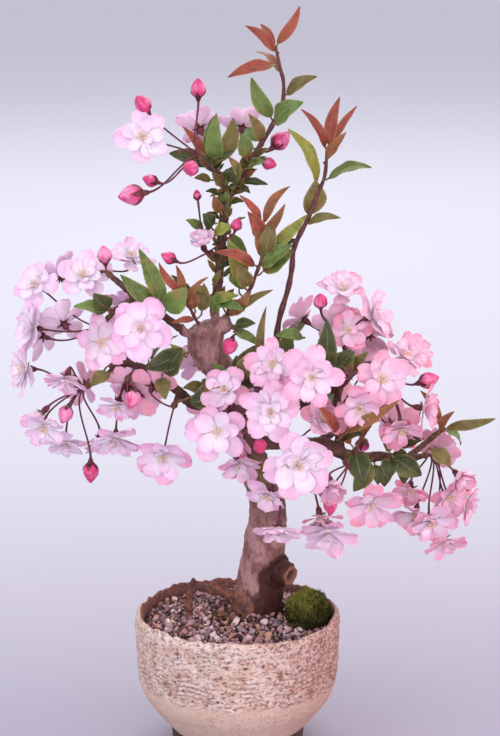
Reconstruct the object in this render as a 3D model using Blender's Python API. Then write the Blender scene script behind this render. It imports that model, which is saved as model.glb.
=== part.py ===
"""Flowering cherry bonsai in a rough cream pot, 403 mm tall.

One crooked trunk leans left and is cut off at the top. Thin limbs and new shoots grow from it
and carry sprays of semi-double pink blooms on long stalks, with small green and bronze leaves.
Every place in the lists is in millimetres from the middle of the pot's foot: X to the right,
Y away from the front, Z up.
"""
import math
import random

import bmesh
import bpy
from mathutils import Quaternion, Vector

MM = 0.001
CLEAR = 0.3
SEED = 11

POT_SIDES = 28
RIM_HEIGHT = 76.0
RIM_WAVE = 0.9
FLOOR_TOP = 13.0
POT_OUTSIDE = [(36.0, 0.0), (37.0, 12.5), (40.5, 15.5), (46.0, 22.5), (51.3, 29.5), (54.2, 36.5),
               (55.6, 50.0), (56.2, 73.5), (54.6, RIM_HEIGHT)]
POT_INSIDE = [(52.8, RIM_HEIGHT), (51.6, 73.0), (48.2, 36.0), (38.5, 20.0), (33.0, FLOOR_TOP)]
DRAIN_RADIUS = 4.5
DRAIN_X = 16.0
CHANNEL_WIDTH = 5.0
CHANNEL_DEPTH = 2.5
CHANNEL_REACH = 45.0

MESH_SIZE = 15.0
MESH_THICK = 0.9
MESH_HOLE = 4.6
MESH_PITCH = 6.2

SOIL_FLOOR = FLOOR_TOP + MESH_THICK + 2 * CLEAR
SOIL_RINGS = [44.0, 36.0, 28.0, 19.0, 9.0]
SOIL_LEVEL = 71.0
SOIL_MOUND = 3.0
SOIL_MOUND_SPREAD = 28.0
SOIL_GRIT = 0.9
SOIL_GAP = 0.4
MOSS_CENTRE = (38.6, -2.0)
MOSS_HALF = (12.0, 17.0)
MOSS_HEIGHT = 17.0
MOSS_SEAT = 71.6
MOSS_SIDES = 16
MOSS_LEVELS = (0.0, 0.3, 0.58, 0.8, 0.94)
MOSS_FLAT = 1.6

TRUNK_FOOT = (10.5, 14.0)
TRUNK_HOLE_FLOOR = 55.7
TRUNK_HOLE_RADIUS = 15.2
TRUNK_SIDES = 10
TRUNK_BUMP = 1.045
ROOT_FOOT = (-27.0, 1.0)
ROOT_HOLE_RADIUS = 2.8
ROOT_HOLE_FLOOR = 61.7
HOLE_TOP = 95.0
CUT_OVER = 5.0

TRUNK = [(10.5, 14, 56, 13.2), (10.5, 14, 66, 14.4), (10.5, 14, 76.5, 14.5), (11.8, 14, 84, 13.3),
         (13.2, 14, 95, 12.4), (15, 13, 112, 11.3), (16.7, 12, 128, 10.2), (15.5, 11.5, 140, 9.5),
         (11, 11, 150, 9.0), (6, 10, 162, 8.5), (1, 9, 176, 8.2), (-2, 8, 193, 8.1), (-7, 7, 207, 8.2),
         (-14, 6, 216, 8.5), (-17, 5.5, 224, 9.3), (-17, 5, 232, 10.0)]
SURFACE_ROOT = [(8, 12, 79, 4.2), (-6, 9, 83, 3.6), (-16, 6, 86, 3.2), (-23, 3, 88.5, 3.0),
                (-26.5, 1.5, 84, 2.6), (-27, 1, 76, 2.3), (-27, 1, 62, 2.3)]
CUT_KNOB = [(16, 11, 97, 7.0), (22, 7.5, 96.5, 6.0), (26.5, 3.5, 96, 5.1), (29.5, 1, 95.5, 5.4)]
KNOB_SIDES = 8
KNOB_HOLLOW = ((-0.6, 0.72), (1.8, 0.5))
CALLUS = [(-11, 4, 233, 4.5), (-6, 3.5, 236, 4.2), (-3.5, 3, 237, 2.6)]

LIMBS = {
    "leader": [(-12, 5, 226, 4.0), (-11, 6, 236, 3.2), (-12, 7, 242, 2.7), (-10, 8, 259, 2.5),
               (-9, 8, 271, 2.4), (-8, 7, 283, 2.6), (-6, 6, 299, 2.7), (-4, 5, 307, 2.6)],
    "leader_left": [(-5, 6, 303, 2.2), (-8, 2, 314, 1.9), (-14, -2, 321, 1.7), (-17, -4, 324, 1.6)],
    "leader_right": [(-4.5, 5, 304, 2.3), (2, 6, 313, 2.0), (8, 6, 323, 1.8), (11, 6, 329, 1.6)],
    "left_top": [(-16, 4, 226, 3.0), (-25, 2, 230, 2.4), (-38, -4, 241, 2.1), (-44, -6, 245, 2.0),
                 (-54, -6, 253, 1.9), (-61, -2, 258, 1.7), (-66, 0, 262, 1.6)],
    "left_side": [(-53, -6, 252, 1.8), (-62, -6, 247, 1.6), (-69, -4, 240, 1.5)],
    "left_low": [(1, 8, 189, 3.6), (-10, 6, 190, 3.2), (-24, 4, 192, 2.9), (-31, 2, 199, 2.7),
                 (-37, 0, 204, 2.5), (-45, 0, 210, 2.3), (-53, 2, 213, 2.2), (-62, 4, 214, 2.0),
                 (-70, 2, 208, 1.8), (-78, 0, 204, 1.6)],
    "left_back": [(-34, 1, 202, 2.2), (-44, 14, 204, 2.0), (-55, 24, 208, 1.8), (-62, 31, 212, 1.6)],
    "right_low": [(5, 8, 168, 4.4), (20, 2, 171, 3.9), (34, -6, 172, 3.6), (47, -12, 174, 3.4),
                  (55, -12, 169, 3.2), (68, -10, 166, 2.9), (78, -8, 166, 2.6), (87, -6, 163, 2.3),
                  (99, -4, 165, 1.7)],
    "right_tip": [(90, -5.5, 163.5, 1.9), (101, 3, 170, 1.6), (109, 2, 177, 1.5)],
    "right_back": [(42, -9, 173, 2.4), (52, 6, 176, 2.2), (62, 20, 180, 1.9), (70, 28, 183, 1.6)],
    "right_up": [(-1, 8, 186, 3.8), (12, 6, 185, 3.3), (26, 4, 188, 2.9), (44, 0, 198, 2.6),
                 (55, -2, 204, 2.4), (60, -2, 209, 2.1), (65, -2, 213, 1.7)],
    "right_rise": [(55, -11, 170, 2.5), (54, -9, 182, 2.3), (53, -6, 194, 2.1), (55, -3, 203, 1.9)],
    "right_upright": [(27, 4, 189, 2.2), (24, 11, 205, 2.0), (21, 12, 227, 1.8)],
    "back": [(1, 9, 174, 3.6), (-3, 24, 184, 2.7), (-7, 38, 190, 2.2), (-9, 48, 193, 1.7)],
}

SPURS = {
    "left_front": [(-51, -6, 251), (-53, -11, 248)],
    "left_low_mid": [(-53, 2, 213), (-57, -4, 209)],
    "left_low_root": [(-31, 2, 199), (-33, -6, 195)],
    "trunk_front": [(0, 7, 178), (-4, -5, 183)],
    "right_low_root": [(34, -6, 172), (33, -14, 176)],
    "right_low_mid": [(55, -12, 169), (57, -20, 167)],
    "right_up_root": [(26, 4, 188), (27, -6, 197)],
    "right_up_top": [(56, -2, 205), (57, 4, 217)],
    "top_back": [(7, 6, 322), (5, 13, 327)],
    "leader_front": [(-9, 8, 271), (-13, 1, 274)],
    "callus": [(-6, 3.5, 236), (0, 0, 234)],
    "mid_shoot": [(-8, 5, 238), (-2, 2.5, 244)],
    "left_shoot": [(-17, 1, 230), (-20, -3, 237)],
}

LEAF_SEATS = {
    "left_top": ("left_top", 2.5, (-0.1, -0.8, 0.6)),
    "left_side": ("left_side", 1.4, (-0.2, -0.8, 0.5)),
    "left_low": ("left_low", 4.6, (0.1, -0.8, 0.6)),
    "left_tip": ("left_low", 7.5, (-0.2, 0.6, 0.7)),
    "left_root": ("left_low", 1.5, (0.0, -0.7, 0.7)),
    "crown": ("leader", 2.3, (-0.7, -0.6, 0.3)),
    "centre": ("trunk", 11.3, (0.5, -0.85, 0.2)),
    "leader": ("leader", 5.1, (0.6, 0.7, 0.0)),
    "top": ("leader_left", 1.5, (-0.3, 0.7, 0.6)),
    "right_up": ("right_up", 3.1, (0.1, -0.8, 0.6)),
    "upright": ("right_upright", 1.5, (0.7, -0.6, 0.1)),
    "right_mid": ("right_low", 4.5, (0.1, -0.6, 0.75)),
    "right_outer": ("right_low", 6.2, (0.1, -0.8, 0.5)),
    "left_back": ("left_back", 1.5, (-0.3, 0.4, 0.85)),
    "right_back": ("right_back", 1.5, (-0.5, 0.5, 0.7)),
    "back": ("back", 1.6, (0.6, 0.0, 0.8)),
}

BLOOM, HALF, BUD = "bloom", "half", "bud"
SPRAYS = {
    "left_top": [(BLOOM, (-82, 5, 261), (-80, 40), 31), (BLOOM, (-57, 15, 269), (-70, 65), 27),
                 (BLOOM, (-96, 20, 259), (150, 35), 28), (BUD, (-70, 0, 274), (-100, 70), 11)],
    "left_side": [(BLOOM, (-73, -12, 229), (-55, 10), 31), (BLOOM, (-106, 22, 226), (140, 10), 30),
                  (BLOOM, (-93, 6, 236), (120, 25), 28), (BLOOM, (-107, 8, 256), (-120, 30), 27),
                  (BLOOM, (-108, -2, 235), (-150, 15), 29)],
    "left_front": [(BLOOM, (-50, -24, 239), (-88, 12), 35)],
    "left_low": [(BLOOM, (-113, 4, 211), (-152, 5), 30), (BLOOM, (-90, -12, 210), (-110, -55), 28),
                 (HALF, (-105, -2, 188), (-150, -40), 15), (BUD, (-92, -4, 188), (-120, -50), 11),
                 (BLOOM, (-103, -9, 183), (-95, -30), 25), (BLOOM, (-94, 10, 169), (-95, -48), 26),
                 (BUD, (-79, -4, 156), (-90, -80), 12)],
    "left_low_mid": [(BLOOM, (-53, 2, 198), (85, -20), 27), (BUD, (-55, -16, 199), (-100, -30), 12),
                     (BLOOM, (-65, -8, 176), (-90, -42), 30)],
    "left_low_root": [(BLOOM, (-39, -20, 170), (-95, -25), 32)],
    "trunk_front": [(BLOOM, (-10, -30, 186), (-95, 5), 33), (BLOOM, (-6, -14, 203), (-110, 30), 27),
                    (BLOOM, (2, -16, 165), (-85, -42), 25), (BUD, (12, -29, 177), (-80, -30), 10),
                    (BLOOM, (17, -37, 198), (-88, 8), 35)],
    "right_low_root": [(BLOOM, (32, -48, 173), (-90, 0), 37), (BLOOM, (17, -34, 153), (-115, -38), 26),
                       (BLOOM, (22, -40, 136), (-92, -55), 28), (BLOOM, (44, -28, 191), (-60, 35), 25)],
    "right_low_mid": [(HALF, (49, -38, 159), (-80, -35), 19), (BUD, (49, -34, 146), (-90, -70), 10),
                      (BLOOM, (48, -26, 129), (-90, -38), 31), (BLOOM, (71, -22, 144), (-85, -25), 32)],
    "right_low": [(BLOOM, (104, -14, 132), (-80, -36), 31), (BLOOM, (124, 2, 137), (-20, -10), 26),
                  (HALF, (119, -8, 155), (-60, -20), 17), (BLOOM, (113, 2, 116), (-65, -48), 28),
                  (BLOOM, (93, -6, 147), (-100, -40), 24), (BLOOM, (109, 14, 163), (60, 20), 27)],
    "right_up": [(BLOOM, (75, -24, 212), (-75, 12), 34), (BLOOM, (88, -6, 220), (-50, 35), 27),
                 (BLOOM, (64, -34, 200), (-100, -15), 27), (BLOOM, (86, -24, 186), (-85, -40), 25),
                 (BLOOM, (99, -10, 193), (-20, -5), 28), (BUD, (102, -4, 207), (-10, 20), 12)],
    "right_up_top": [(BLOOM, (71, -6, 242), (-30, 25), 30), (BLOOM, (56, 8, 253), (-90, 60), 26),
                     (BLOOM, (35, 16, 237), (150, 35), 27), (BUD, (44, -4, 250), (-95, 60), 10),
                     (BLOOM, (53, 4, 235), (100, 25), 27), (BLOOM, (72, 16, 228), (40, 20), 28)],
    "right_up_root": [(BLOOM, (19, -24, 220), (-100, 15), 32), (BLOOM, (38, -40, 217), (-85, 10), 34)],
    "leader_left": [(BUD, (-49, 0, 353), (-130, 45), 12), (BLOOM, (-48, -4, 336), (-100, 15), 30),
                    (BUD, (-20, 0, 361), (-90, 80), 11), (BUD, (-24, -12, 321), (-110, 10), 11),
                    (BUD, (-45, -6, 314), (170, 15), 9), (BUD, (-55, -4, 306), (175, -10), 15)],
    "top_back": [(BLOOM, (-20, 16, 339), (110, 30), 25), (BLOOM, (3, 24, 339), (80, 35), 24),
                 (BUD, (23, 12, 333), (20, 40), 13), (BUD, (17, 8, 321), (-30, -10), 9)],
    "leader_front": [(BUD, (0, -6, 291), (-60, 60), 8), (HALF, (-18, -5, 281), (-120, 20), 14),
                     (BUD, (-36, -4, 273), (175, 25), 9), (BUD, (-21, 4, 305), (120, 75), 6)],
    "callus": [(BUD, (-4, -8, 226), (-110, -40), 11)],
    "left_back": [(BLOOM, (-70, 42, 217), (100, 20), 31), (BLOOM, (-85, 36, 195), (140, -15), 29),
                  (BLOOM, (-56, 38, 190), (80, -35), 30), (BLOOM, (-62, 32, 240), (100, 55), 28),
                  (BUD, (-42, 40, 205), (70, 10), 11)],
    "back": [(BLOOM, (-14, 58, 176), (95, -20), 31), (BLOOM, (12, 56, 188), (70, 10), 31),
             (BLOOM, (-22, 54, 204), (120, 25), 30), (BUD, (4, 50, 168), (70, -40), 11)],
    "right_back": [(BLOOM, (54, 38, 184), (110, 5), 30), (BLOOM, (86, 38, 172), (60, -10), 31),
                   (BLOOM, (68, 38, 208), (85, 35), 30), (BUD, (70, 44, 158), (85, -50), 11)],
}

GREEN, BRONZE = "green", "bronze"
ROSETTES = {
    "left_top": (GREEN, [((-50, -12, 279), 8), ((-60, -16, 266), 7), ((-27, -16, 259), 10)]),
    "left_side": (GREEN, [((-74, -18, 256), 9), ((-85, -15, 250), 7)]),
    "left_low": (GREEN, [((-30, -12, 226), 11), ((-38, -16, 200), 7)]),
    "left_tip": (GREEN, [((-84, 8, 226), 8), ((-72, 26, 222), 9)]),
    "left_root": (GREEN, [((-11, -8, 209), 9), ((-27, -15, 206), 8)]),
    "crown": (GREEN, [((-1, -9, 255), 6), ((-21, -10, 258), 5), ((3, -14, 247), 5), ((-31, 0, 254), 5),
                      ((-27, 14, 254), 6)]),
    "centre": (GREEN, [((9, -6, 226), 13), ((-12, -5, 217), 7)]),
    "leader": (GREEN, [((6, 6, 269), 5), ((4, 16, 292), 6), ((-12, 26, 288), 6)]),
    "top": (GREEN, [((-10, -10, 347), 7), ((-1, 8, 345), 8), ((-36, 9, 327), 7), ((-28, 5, 341), 5),
                    ((-16, 24, 324), 7)]),
    "right_up": (GREEN, [((46, -12, 240), 10), ((58, -16, 226), 9)]),
    "upright": (GREEN, [((28, -4, 234), 7), ((38, 20, 236), 7)]),
    "right_mid": (BRONZE, [((82, -18, 199), 6), ((42, -22, 200), 6), ((66, -26, 157), 10)]),
    "right_outer": (GREEN, [((80, -20, 157), 7), ((91, -18, 168), 6), ((78, -11, 181), 7)]),
    "right_tip": (BRONZE, [((138, -6, 187), 5), ((99, 6, 199), 5), ((124, 12, 168), 6)]),
    "left_back": (GREEN, [((-34, 28, 226), 9), ((-56, 40, 228), 9)]),
    "right_back": (GREEN, [((44, 30, 202), 9), ((40, 34, 176), 9)]),
    "back": (GREEN, [((16, 40, 212), 9), ((12, 44, 170), 8)]),
}

SHOOTS = {
    "leader_right": [(17, 4, 339, 1.3), (21, 3, 347, 1.2), (24, 2, 355, 1.1), (24, 0, 365, 1.0),
                     (22, -1, 373, 0.9), (20, -2, 382, 0.8)],
    "right_upright": [(23, 12, 239, 1.6), (27, 11, 253, 1.5), (29, 10, 264, 1.5), (30, 9, 275, 1.4),
                      (33, 8, 283, 1.4), (37, 7, 291, 1.3), (40, 6, 299, 1.2), (43, 5, 307, 1.1),
                      (46, 4, 315, 1.0), (47, 2, 328, 0.9)],
    "mid_shoot": [(3, 0, 250, 1.1), (7, -1, 256, 1.1), (10, -3, 264, 1.0), (13, -4, 273, 1.0),
                  (13, -5, 282, 0.9), (13, -5, 290, 0.8)],
    "left_shoot": [(-22, -4, 240, 0.9), (-25, -7, 247, 0.9), (-28, -9, 253, 0.8)],
}

SHOOT_LEAVES = {
    "leader_right": (BRONZE, [((20, -2, 382), (32, -6, 403), 5), ((20, -2, 381), (12, 5, 394), 4),
                              ((21, -1, 379), (5, -8, 393), 5), ((22, -1, 373), (-4, -12, 369), 6.5),
                              ((23, 0, 368), (11, 9, 381), 5), ((19, 3, 343), (8, -5, 366), 6.5),
                              ((24, 2, 356), (40, -6, 368), 6), ((18, 4, 341), (32, -9, 355), 9),
                              ((13, 6, 332), (7, -3, 347), 5.5), ((13, 6, 332), (4, 14, 340), 6)]),
    "right_upright": (BRONZE, [((47, 2, 328), (34, -8, 351), 5), ((47, 2, 328), (53, -5, 356), 6),
                               ((47, 2, 327), (62, 9, 352), 5), ((46, 3, 322), (55, -5, 339), 6),
                               ((43, 5, 307), (28, -7, 341), 7.5), ((45, 4, 312), (69, -8, 322), 6.5),
                               ((37, 7, 291), (42, 16, 312), 9.5), ((36, 7, 289), (53, -3, 295), 5)]),
    "mid_shoot": (BRONZE, [((13, -5, 283), (24, -11, 302), 5), ((13, -5, 281), (20, 4, 293), 5),
                           ((13, -5, 290), (27, -4, 311), 5), ((13, -5, 290), (3, -8, 307), 5),
                           ((13, -4, 282), (6, -13, 298), 7), ((11, -3, 268), (-10, -16, 278), 5.5),
                           ((11, -3, 267), (27, -14, 282), 9), ((7, -1, 256), (0, -10, 270), 7)]),
    "left_shoot": (BRONZE, [((-28, -9, 253), (-41, -8, 271), 4), ((-28, -9, 253), (-32, -13, 270), 4),
                            ((-26, -8, 249), (-17, -15, 265), 4), ((-22, -4, 240), (-34, -13, 241), 4)]),
}

PETAL_COUNT = 5
PETAL_OUTLINE = [(0.6, -1.0), (0.97, -0.5), (1.0, 0.5), (0.62, 1.0)]
PETAL_WIDEST = 0.43
PETAL_THICK = 0.9
CORE_RADIUS = 1.6
CALYX_LEVELS = [(-5.0, 1.1), (0.0, CORE_RADIUS), (1.35, CORE_RADIUS - 0.3)]
CUP_SHARE = 0.68
BUD_LEVELS = [(-0.65, 0.12, 0.0), (-0.05, 0.37, 0.25), (0.28, 0.27, 0.5)]
BUD_TIP = 0.5
SPUR_RADII = [1.5, 1.4]
SPRAY_COLLAR = 1.4
LEAF_COLLAR = 1.2
STALK_START = 2.4
STALK_BEND = 0.3
STALK_RADIUS = 0.75
STALK_SIDES = 3
LONG_STALK = 24.0
STALK_SCATTER = 0.4
LEAF_START = 1.8
LEAF_SCATTER = 0.3
FRONT_LIGHT = Vector((0.0, -0.5, 0.85))
BACK_LIGHT = Vector((0.0, 0.6, 0.8))
BACK_STARTS = 12.0
LARGE_LEAF = 8.5
SMALL_LEAF = 6.0
LEAF_KEEL = 0.9
LEAF_ARCH = 0.09
LEAF_TWIST = 0.5


class Shape:
    """Corners and faces of one closed piece, in millimetres."""

    def __init__(self):
        self.corners = []
        self.faces = []

    def point(self, place):
        self.corners.append(Vector(place))
        return len(self.corners) - 1

    def ring(self, centre, across, along, radius, sides, turn=0.0):
        """Corners round a centre, in the plane of across and along."""
        ring = []
        for side in range(sides):
            angle = turn + math.tau * side / sides
            way = across * math.cos(angle) + along * math.sin(angle)
            ring.append(self.point(centre + way * radius))
        return ring

    def band(self, low, high):
        for side in range(len(low)):
            after = (side + 1) % len(low)
            self.faces.append((low[side], low[after], high[after], high[side]))

    def fan(self, ring, tip):
        for side in range(len(ring)):
            self.faces.append((ring[side], ring[(side + 1) % len(ring)], tip))

    def lid(self, ring):
        self.faces.append(tuple(ring))


def headings(points):
    """The direction of travel at each point of a path."""
    last = len(points) - 1
    return [(points[min(i + 1, last)] - points[max(i - 1, 0)]).normalized() for i in range(last + 1)]


def square_to(direction, wish=Vector((0.0, 0.0, 1.0))):
    """A unit vector square to a direction, as near to the wished one as can be."""
    if abs(direction.dot(wish)) > 0.95:
        wish = Vector((1.0, 0.0, 0.0))
    return (wish - direction * direction.dot(wish)).normalized()


def tube(path, radii, sides, start_way=None, bump=None):
    """A round closed stem along a path, carried without twist from its first point."""
    shape = Shape()
    ways = headings(path)
    ways[0] = start_way or ways[0]
    across = square_to(ways[0])
    rings = []
    for i, (place, way, radius) in enumerate(zip(path, ways, radii)):
        if i:
            across = square_to(way, ways[i - 1].rotation_difference(way) @ across)
        ring = shape.ring(place, across, way.cross(across), radius, sides)
        if bump:
            for side, corner in enumerate(ring):
                shape.corners[corner] += (shape.corners[corner] - place) * bump(i, side)
        rings.append(ring)
    for low, high in zip(rings, rings[1:]):
        shape.band(low, high)
    shape.lid(rings[0])
    shape.lid(rings[-1])
    return shape


def limb(points, sides):
    """A limb from a list of places with a radius each."""
    return tube([Vector(p[:3]) for p in points], [p[3] for p in points], sides)


def curve(start, first, second, end, steps):
    """Points along a smooth bend between two places."""
    points = []
    for step in range(steps + 1):
        t = step / steps
        s = 1.0 - t
        points.append(start * s ** 3 + first * 3 * s * s * t + second * 3 * s * t * t + end * t ** 3)
    return points


def facing_vector(azimuth, height):
    turn = math.radians(azimuth)
    rise = math.radians(height)
    level = math.cos(rise)
    return Vector((math.cos(turn) * level, math.sin(turn) * level, math.sin(rise)))


def scatter(dice, most):
    """A small step in any direction."""
    return Vector((dice.uniform(-most, most), dice.uniform(-most, most), dice.uniform(-most, most)))


def seat(name):
    """Where a spray, rosette or shoot starts, just clear of its wood, and the way it leaves."""
    inner, tip = SPURS[name] if name in SPURS else LIMBS[name][-2:]
    inner, tip = Vector(inner[:3]), Vector(tip[:3])
    way = (tip - inner).normalized()
    return tip + way * CLEAR, way


def side_seat(wood, step, wish):
    """A place just clear of a limb's side, a share of the way along it, and the way out."""
    points = TRUNK if wood == "trunk" else LIMBS[wood]
    low, high = points[int(step)], points[int(step) + 1]
    share = step - int(step)
    middle = Vector(low[:3]).lerp(Vector(high[:3]), share)
    radius = (low[3] + (high[3] - low[3]) * share) * (TRUNK_BUMP if wood == "trunk" else 1.0)
    way = square_to((Vector(high[:3]) - Vector(low[:3])).normalized(), Vector(wish).normalized())
    return middle + way * (radius + CLEAR), way


def stub(place, way, size):
    """The small swollen bud scale collar that stalks or leaves come out of."""
    path = [place, place + way * size * 1.3, place + way * size * 2.9]
    return tube(path, [size, size * 1.35, size * 0.7], 5)


def stalk_end(shape, base, across, facing, root, way):
    """A long thin stalk from a flower's base ring back to its root in the collar."""
    joint = sum((shape.corners[i] for i in base), Vector()) / len(base)
    reach = (joint - root).length
    steps = 3 if reach > LONG_STALK else 2
    pull = reach * STALK_BEND
    path = curve(joint, joint - facing * pull, root + way * pull, root, steps)
    ways = headings(path)
    ways[0] = -facing
    low = base
    for i in range(1, len(path)):
        across = square_to(ways[i], ways[i - 1].rotation_difference(ways[i]) @ across)
        ring = shape.ring(path[i], across, across.cross(ways[i]), STALK_RADIUS, STALK_SIDES)
        if i == 1:
            narrow(shape, low, ring)
        else:
            shape.band(low, ring)
        low = ring
    shape.lid(low)


def narrow(shape, five, three):
    """Joins a five sided ring to a three sided one that faces the same way."""
    faces = [(0, 1, 0), (1, 2, 1), (2, 3, 1), (3, 4, 2), (4, 0, 2)]
    for a, b, c in faces:
        shape.faces.append((five[a], five[b], three[c]))
    for a, b, c in ((1, 0, 1), (3, 1, 2), (0, 2, 0)):
        shape.faces.append((five[a], three[c], three[b]))


def outer_petal(shape, facing, low, high, outward, rise, reach, wide):
    """One broad round petal that closes on two low and two high corners of the flower's core."""
    aside = facing.cross(outward)
    along = outward * math.cos(rise) + facing * math.sin(rise)
    start = (shape.corners[low[0]] + shape.corners[low[1]]) / 2 + facing * PETAL_THICK * 0.3
    edge = []
    for distance, side in PETAL_OUTLINE:
        edge.append(shape.point(start + (along * distance + aside * wide * side) * reach))
    shape.faces += [(low[0], edge[0], edge[3]), (low[0], edge[3], low[1])]
    shape.faces += [(edge[0], edge[1], edge[2]), (edge[0], edge[2], edge[3])]
    shape.faces += [(low[0], high[0], edge[0]), (high[0], edge[1], edge[0]), (high[0], high[1], edge[1])]
    shape.faces += [(high[1], edge[2], edge[1]), (high[1], edge[3], edge[2]), (high[1], low[1], edge[3])]


def inner_cup(shape, centre, facing, across, along, base, rise, reach):
    """Five smaller petals that stand up together round the middle, between the outer ones."""
    hub = shape.point(centre + facing * 2.6)
    step = math.tau / PETAL_COUNT

    def place(angle, distance, tall):
        return centre + (across * math.cos(angle) + along * math.sin(angle)) * distance + facing * tall

    valleys = [shape.point(place(step * (side + 0.5), CORE_RADIUS + 0.7, 2.5)) for side in range(PETAL_COUNT)]
    far = CORE_RADIUS + reach * math.cos(rise)
    tall = 1.6 + reach * math.sin(rise)
    for side in range(PETAL_COUNT):
        before = valleys[side - 1]
        after = valleys[side]
        first = shape.point(place(step * (side - 0.27), far, tall))
        second = shape.point(place(step * (side + 0.27), far * 0.96, tall + 0.4))
        root = base[side]
        next_root = base[(side + 1) % PETAL_COUNT]
        shape.faces += [(hub, before, first), (hub, first, second), (hub, second, after)]
        shape.faces += [(root, first, before), (root, second, first)]
        shape.faces += [(root, after, second), (root, next_root, after)]


def flower(centre, facing, size, opening, root, way, dice):
    """A semi-double flower: calyx, five broad outer petals, a cup of five more, and its stalk."""
    shape = Shape()
    low_rise, high_rise = opening
    across = Quaternion(facing, dice.uniform(0.0, math.tau)) @ square_to(facing)
    along = facing.cross(across)
    rings = []
    for level, radius in CALYX_LEVELS:
        rings.append(shape.ring(centre + facing * level, across, along, radius, PETAL_COUNT))
    shape.band(rings[0], rings[1])
    reach = size * 0.5 - CORE_RADIUS
    for side in range(PETAL_COUNT):
        after = (side + 1) % PETAL_COUNT
        angle = math.tau * (side + 0.5) / PETAL_COUNT
        outward = across * math.cos(angle) + along * math.sin(angle)
        rise = low_rise + math.radians(dice.uniform(-4.0, 4.0))
        room = (CORE_RADIUS + 0.6 * reach * math.cos(rise)) * math.tan(math.pi / PETAL_COUNT) / reach
        low = (rings[1][side], rings[1][after])
        high = (rings[2][side], rings[2][after])
        outer_petal(shape, facing, low, high, outward, rise, reach, min(PETAL_WIDEST, 0.9 * room))
    inner_cup(shape, centre, facing, across, along, rings[2], high_rise, reach * CUP_SHARE)
    stalk_end(shape, rings[0], across, facing, root, way)
    return shape


def bud(centre, facing, size, root, way, dice):
    """A closed bud on its stalk, with its petals wrapped to a blunt point."""
    shape = Shape()
    across = Quaternion(facing, dice.uniform(0.0, math.tau)) @ square_to(facing)
    along = facing.cross(across)
    rings = []
    for level, radius, turn in BUD_LEVELS:
        middle = centre + facing * level * size
        rings.append(shape.ring(middle, across, along, radius * size, PETAL_COUNT, turn))
    for low, high in zip(rings, rings[1:]):
        shape.band(low, high)
    shape.fan(rings[-1], shape.point(centre + facing * size * BUD_TIP))
    stalk_end(shape, rings[0], across, facing, root, way)
    return shape


def leaf(start, tip, width, dice):
    """A pointed leaf with a short stalk, folded along its rib and arched down to its tip."""
    shape = Shape()
    start, tip = Vector(start), Vector(tip)
    reach = (tip - start).length
    way = (tip - start).normalized()
    light = BACK_LIGHT if (start.y + tip.y) / 2 > BACK_STARTS else FRONT_LIGHT
    normal = Quaternion(way, dice.uniform(-LEAF_TWIST, LEAF_TWIST)) @ square_to(way, light)
    aside = way.cross(normal)
    stations = [(0.0, 0.5), (0.45, width / 2)]
    if width >= SMALL_LEAF:
        stations.append((0.75, width * 0.37))
    if width >= LARGE_LEAF:
        stations.insert(1, (0.18, 0.55))
    rings = []
    for share, half in stations:
        arch = normal * reach * LEAF_ARCH * math.sin(math.pi * share)
        middle = start + way * reach * share + arch
        rings.append([shape.point(middle + aside * half), shape.point(middle - aside * half),
                      shape.point(middle - normal * LEAF_KEEL)])
    for low, high in zip(rings, rings[1:]):
        shape.band(low, high)
    shape.lid(rings[0])
    shape.fan(rings[-1], shape.point(tip))
    return shape


def make_object(name, shape, material):
    mesh = bpy.data.meshes.new(name)
    mesh.from_pydata([corner * MM for corner in shape.corners], [], shape.faces)
    build = bmesh.new()
    build.from_mesh(mesh)
    bmesh.ops.triangulate(build, faces=build.faces)
    bmesh.ops.recalc_face_normals(build, faces=build.faces)
    build.to_mesh(mesh)
    build.free()
    mesh.materials.append(material)
    made = bpy.data.objects.new(name, mesh)
    bpy.context.scene.collection.objects.link(made)
    return made


def apply_boolean(target, operation, tools, solver):
    """Joins or cuts a target with a collection of closed tools, applied, with the tools removed."""
    group = bpy.data.collections.new(target.name + "_tools")
    bpy.context.scene.collection.children.link(group)
    for tool in tools:
        group.objects.link(tool)
    change = target.modifiers.new("change", "BOOLEAN")
    change.operation = operation
    change.operand_type = "COLLECTION"
    change.collection = group
    change.solver = solver
    bpy.context.view_layer.update()
    ready = target.evaluated_get(bpy.context.evaluated_depsgraph_get())
    mesh = bpy.data.meshes.new_from_object(ready)
    target.modifiers.clear()
    target.data = mesh
    mesh.name = target.name
    for tool in tools:
        bpy.data.objects.remove(tool)
    bpy.data.collections.remove(group)


def fuse(name, shapes, material):
    """Joins crossing closed pieces into one solid."""
    pieces = [make_object(f"{name}_{i}", shape, material) for i, shape in enumerate(shapes)]
    whole = pieces[0]
    if len(pieces) > 1:
        apply_boolean(whole, "UNION", pieces[1:], "MANIFOLD")
    whole.name = name
    whole.data.name = name
    return whole


def finish(name, colour, roughness, metallic=0.0):
    material = bpy.data.materials.new(name)
    material.use_nodes = True
    shader = material.node_tree.nodes["Principled BSDF"]
    shader.inputs["Base Color"].default_value = (*colour, 1.0)
    shader.inputs["Roughness"].default_value = roughness
    shader.inputs["Metallic"].default_value = metallic
    material.diffuse_color = (*colour, 1.0)
    return material


def bark():
    return finish("bark", (0.19, 0.10, 0.085), 0.75)


def pink_petals():
    return finish("blossom", (0.93, 0.46, 0.58), 0.6)


def green_leaf():
    return finish("leaf_green", (0.10, 0.20, 0.05), 0.5)


def bronze_leaf():
    return finish("leaf_bronze", (0.24, 0.07, 0.04), 0.5)


def rough_cream_clay():
    return finish("clay_cream", (0.72, 0.55, 0.42), 0.85)


def mixed_grit():
    return finish("grit", (0.30, 0.24, 0.24), 0.9)


def moss_green():
    return finish("moss", (0.07, 0.10, 0.015), 0.95)


def black_plastic():
    return finish("mesh_plastic", (0.02, 0.02, 0.02), 0.5)


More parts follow.
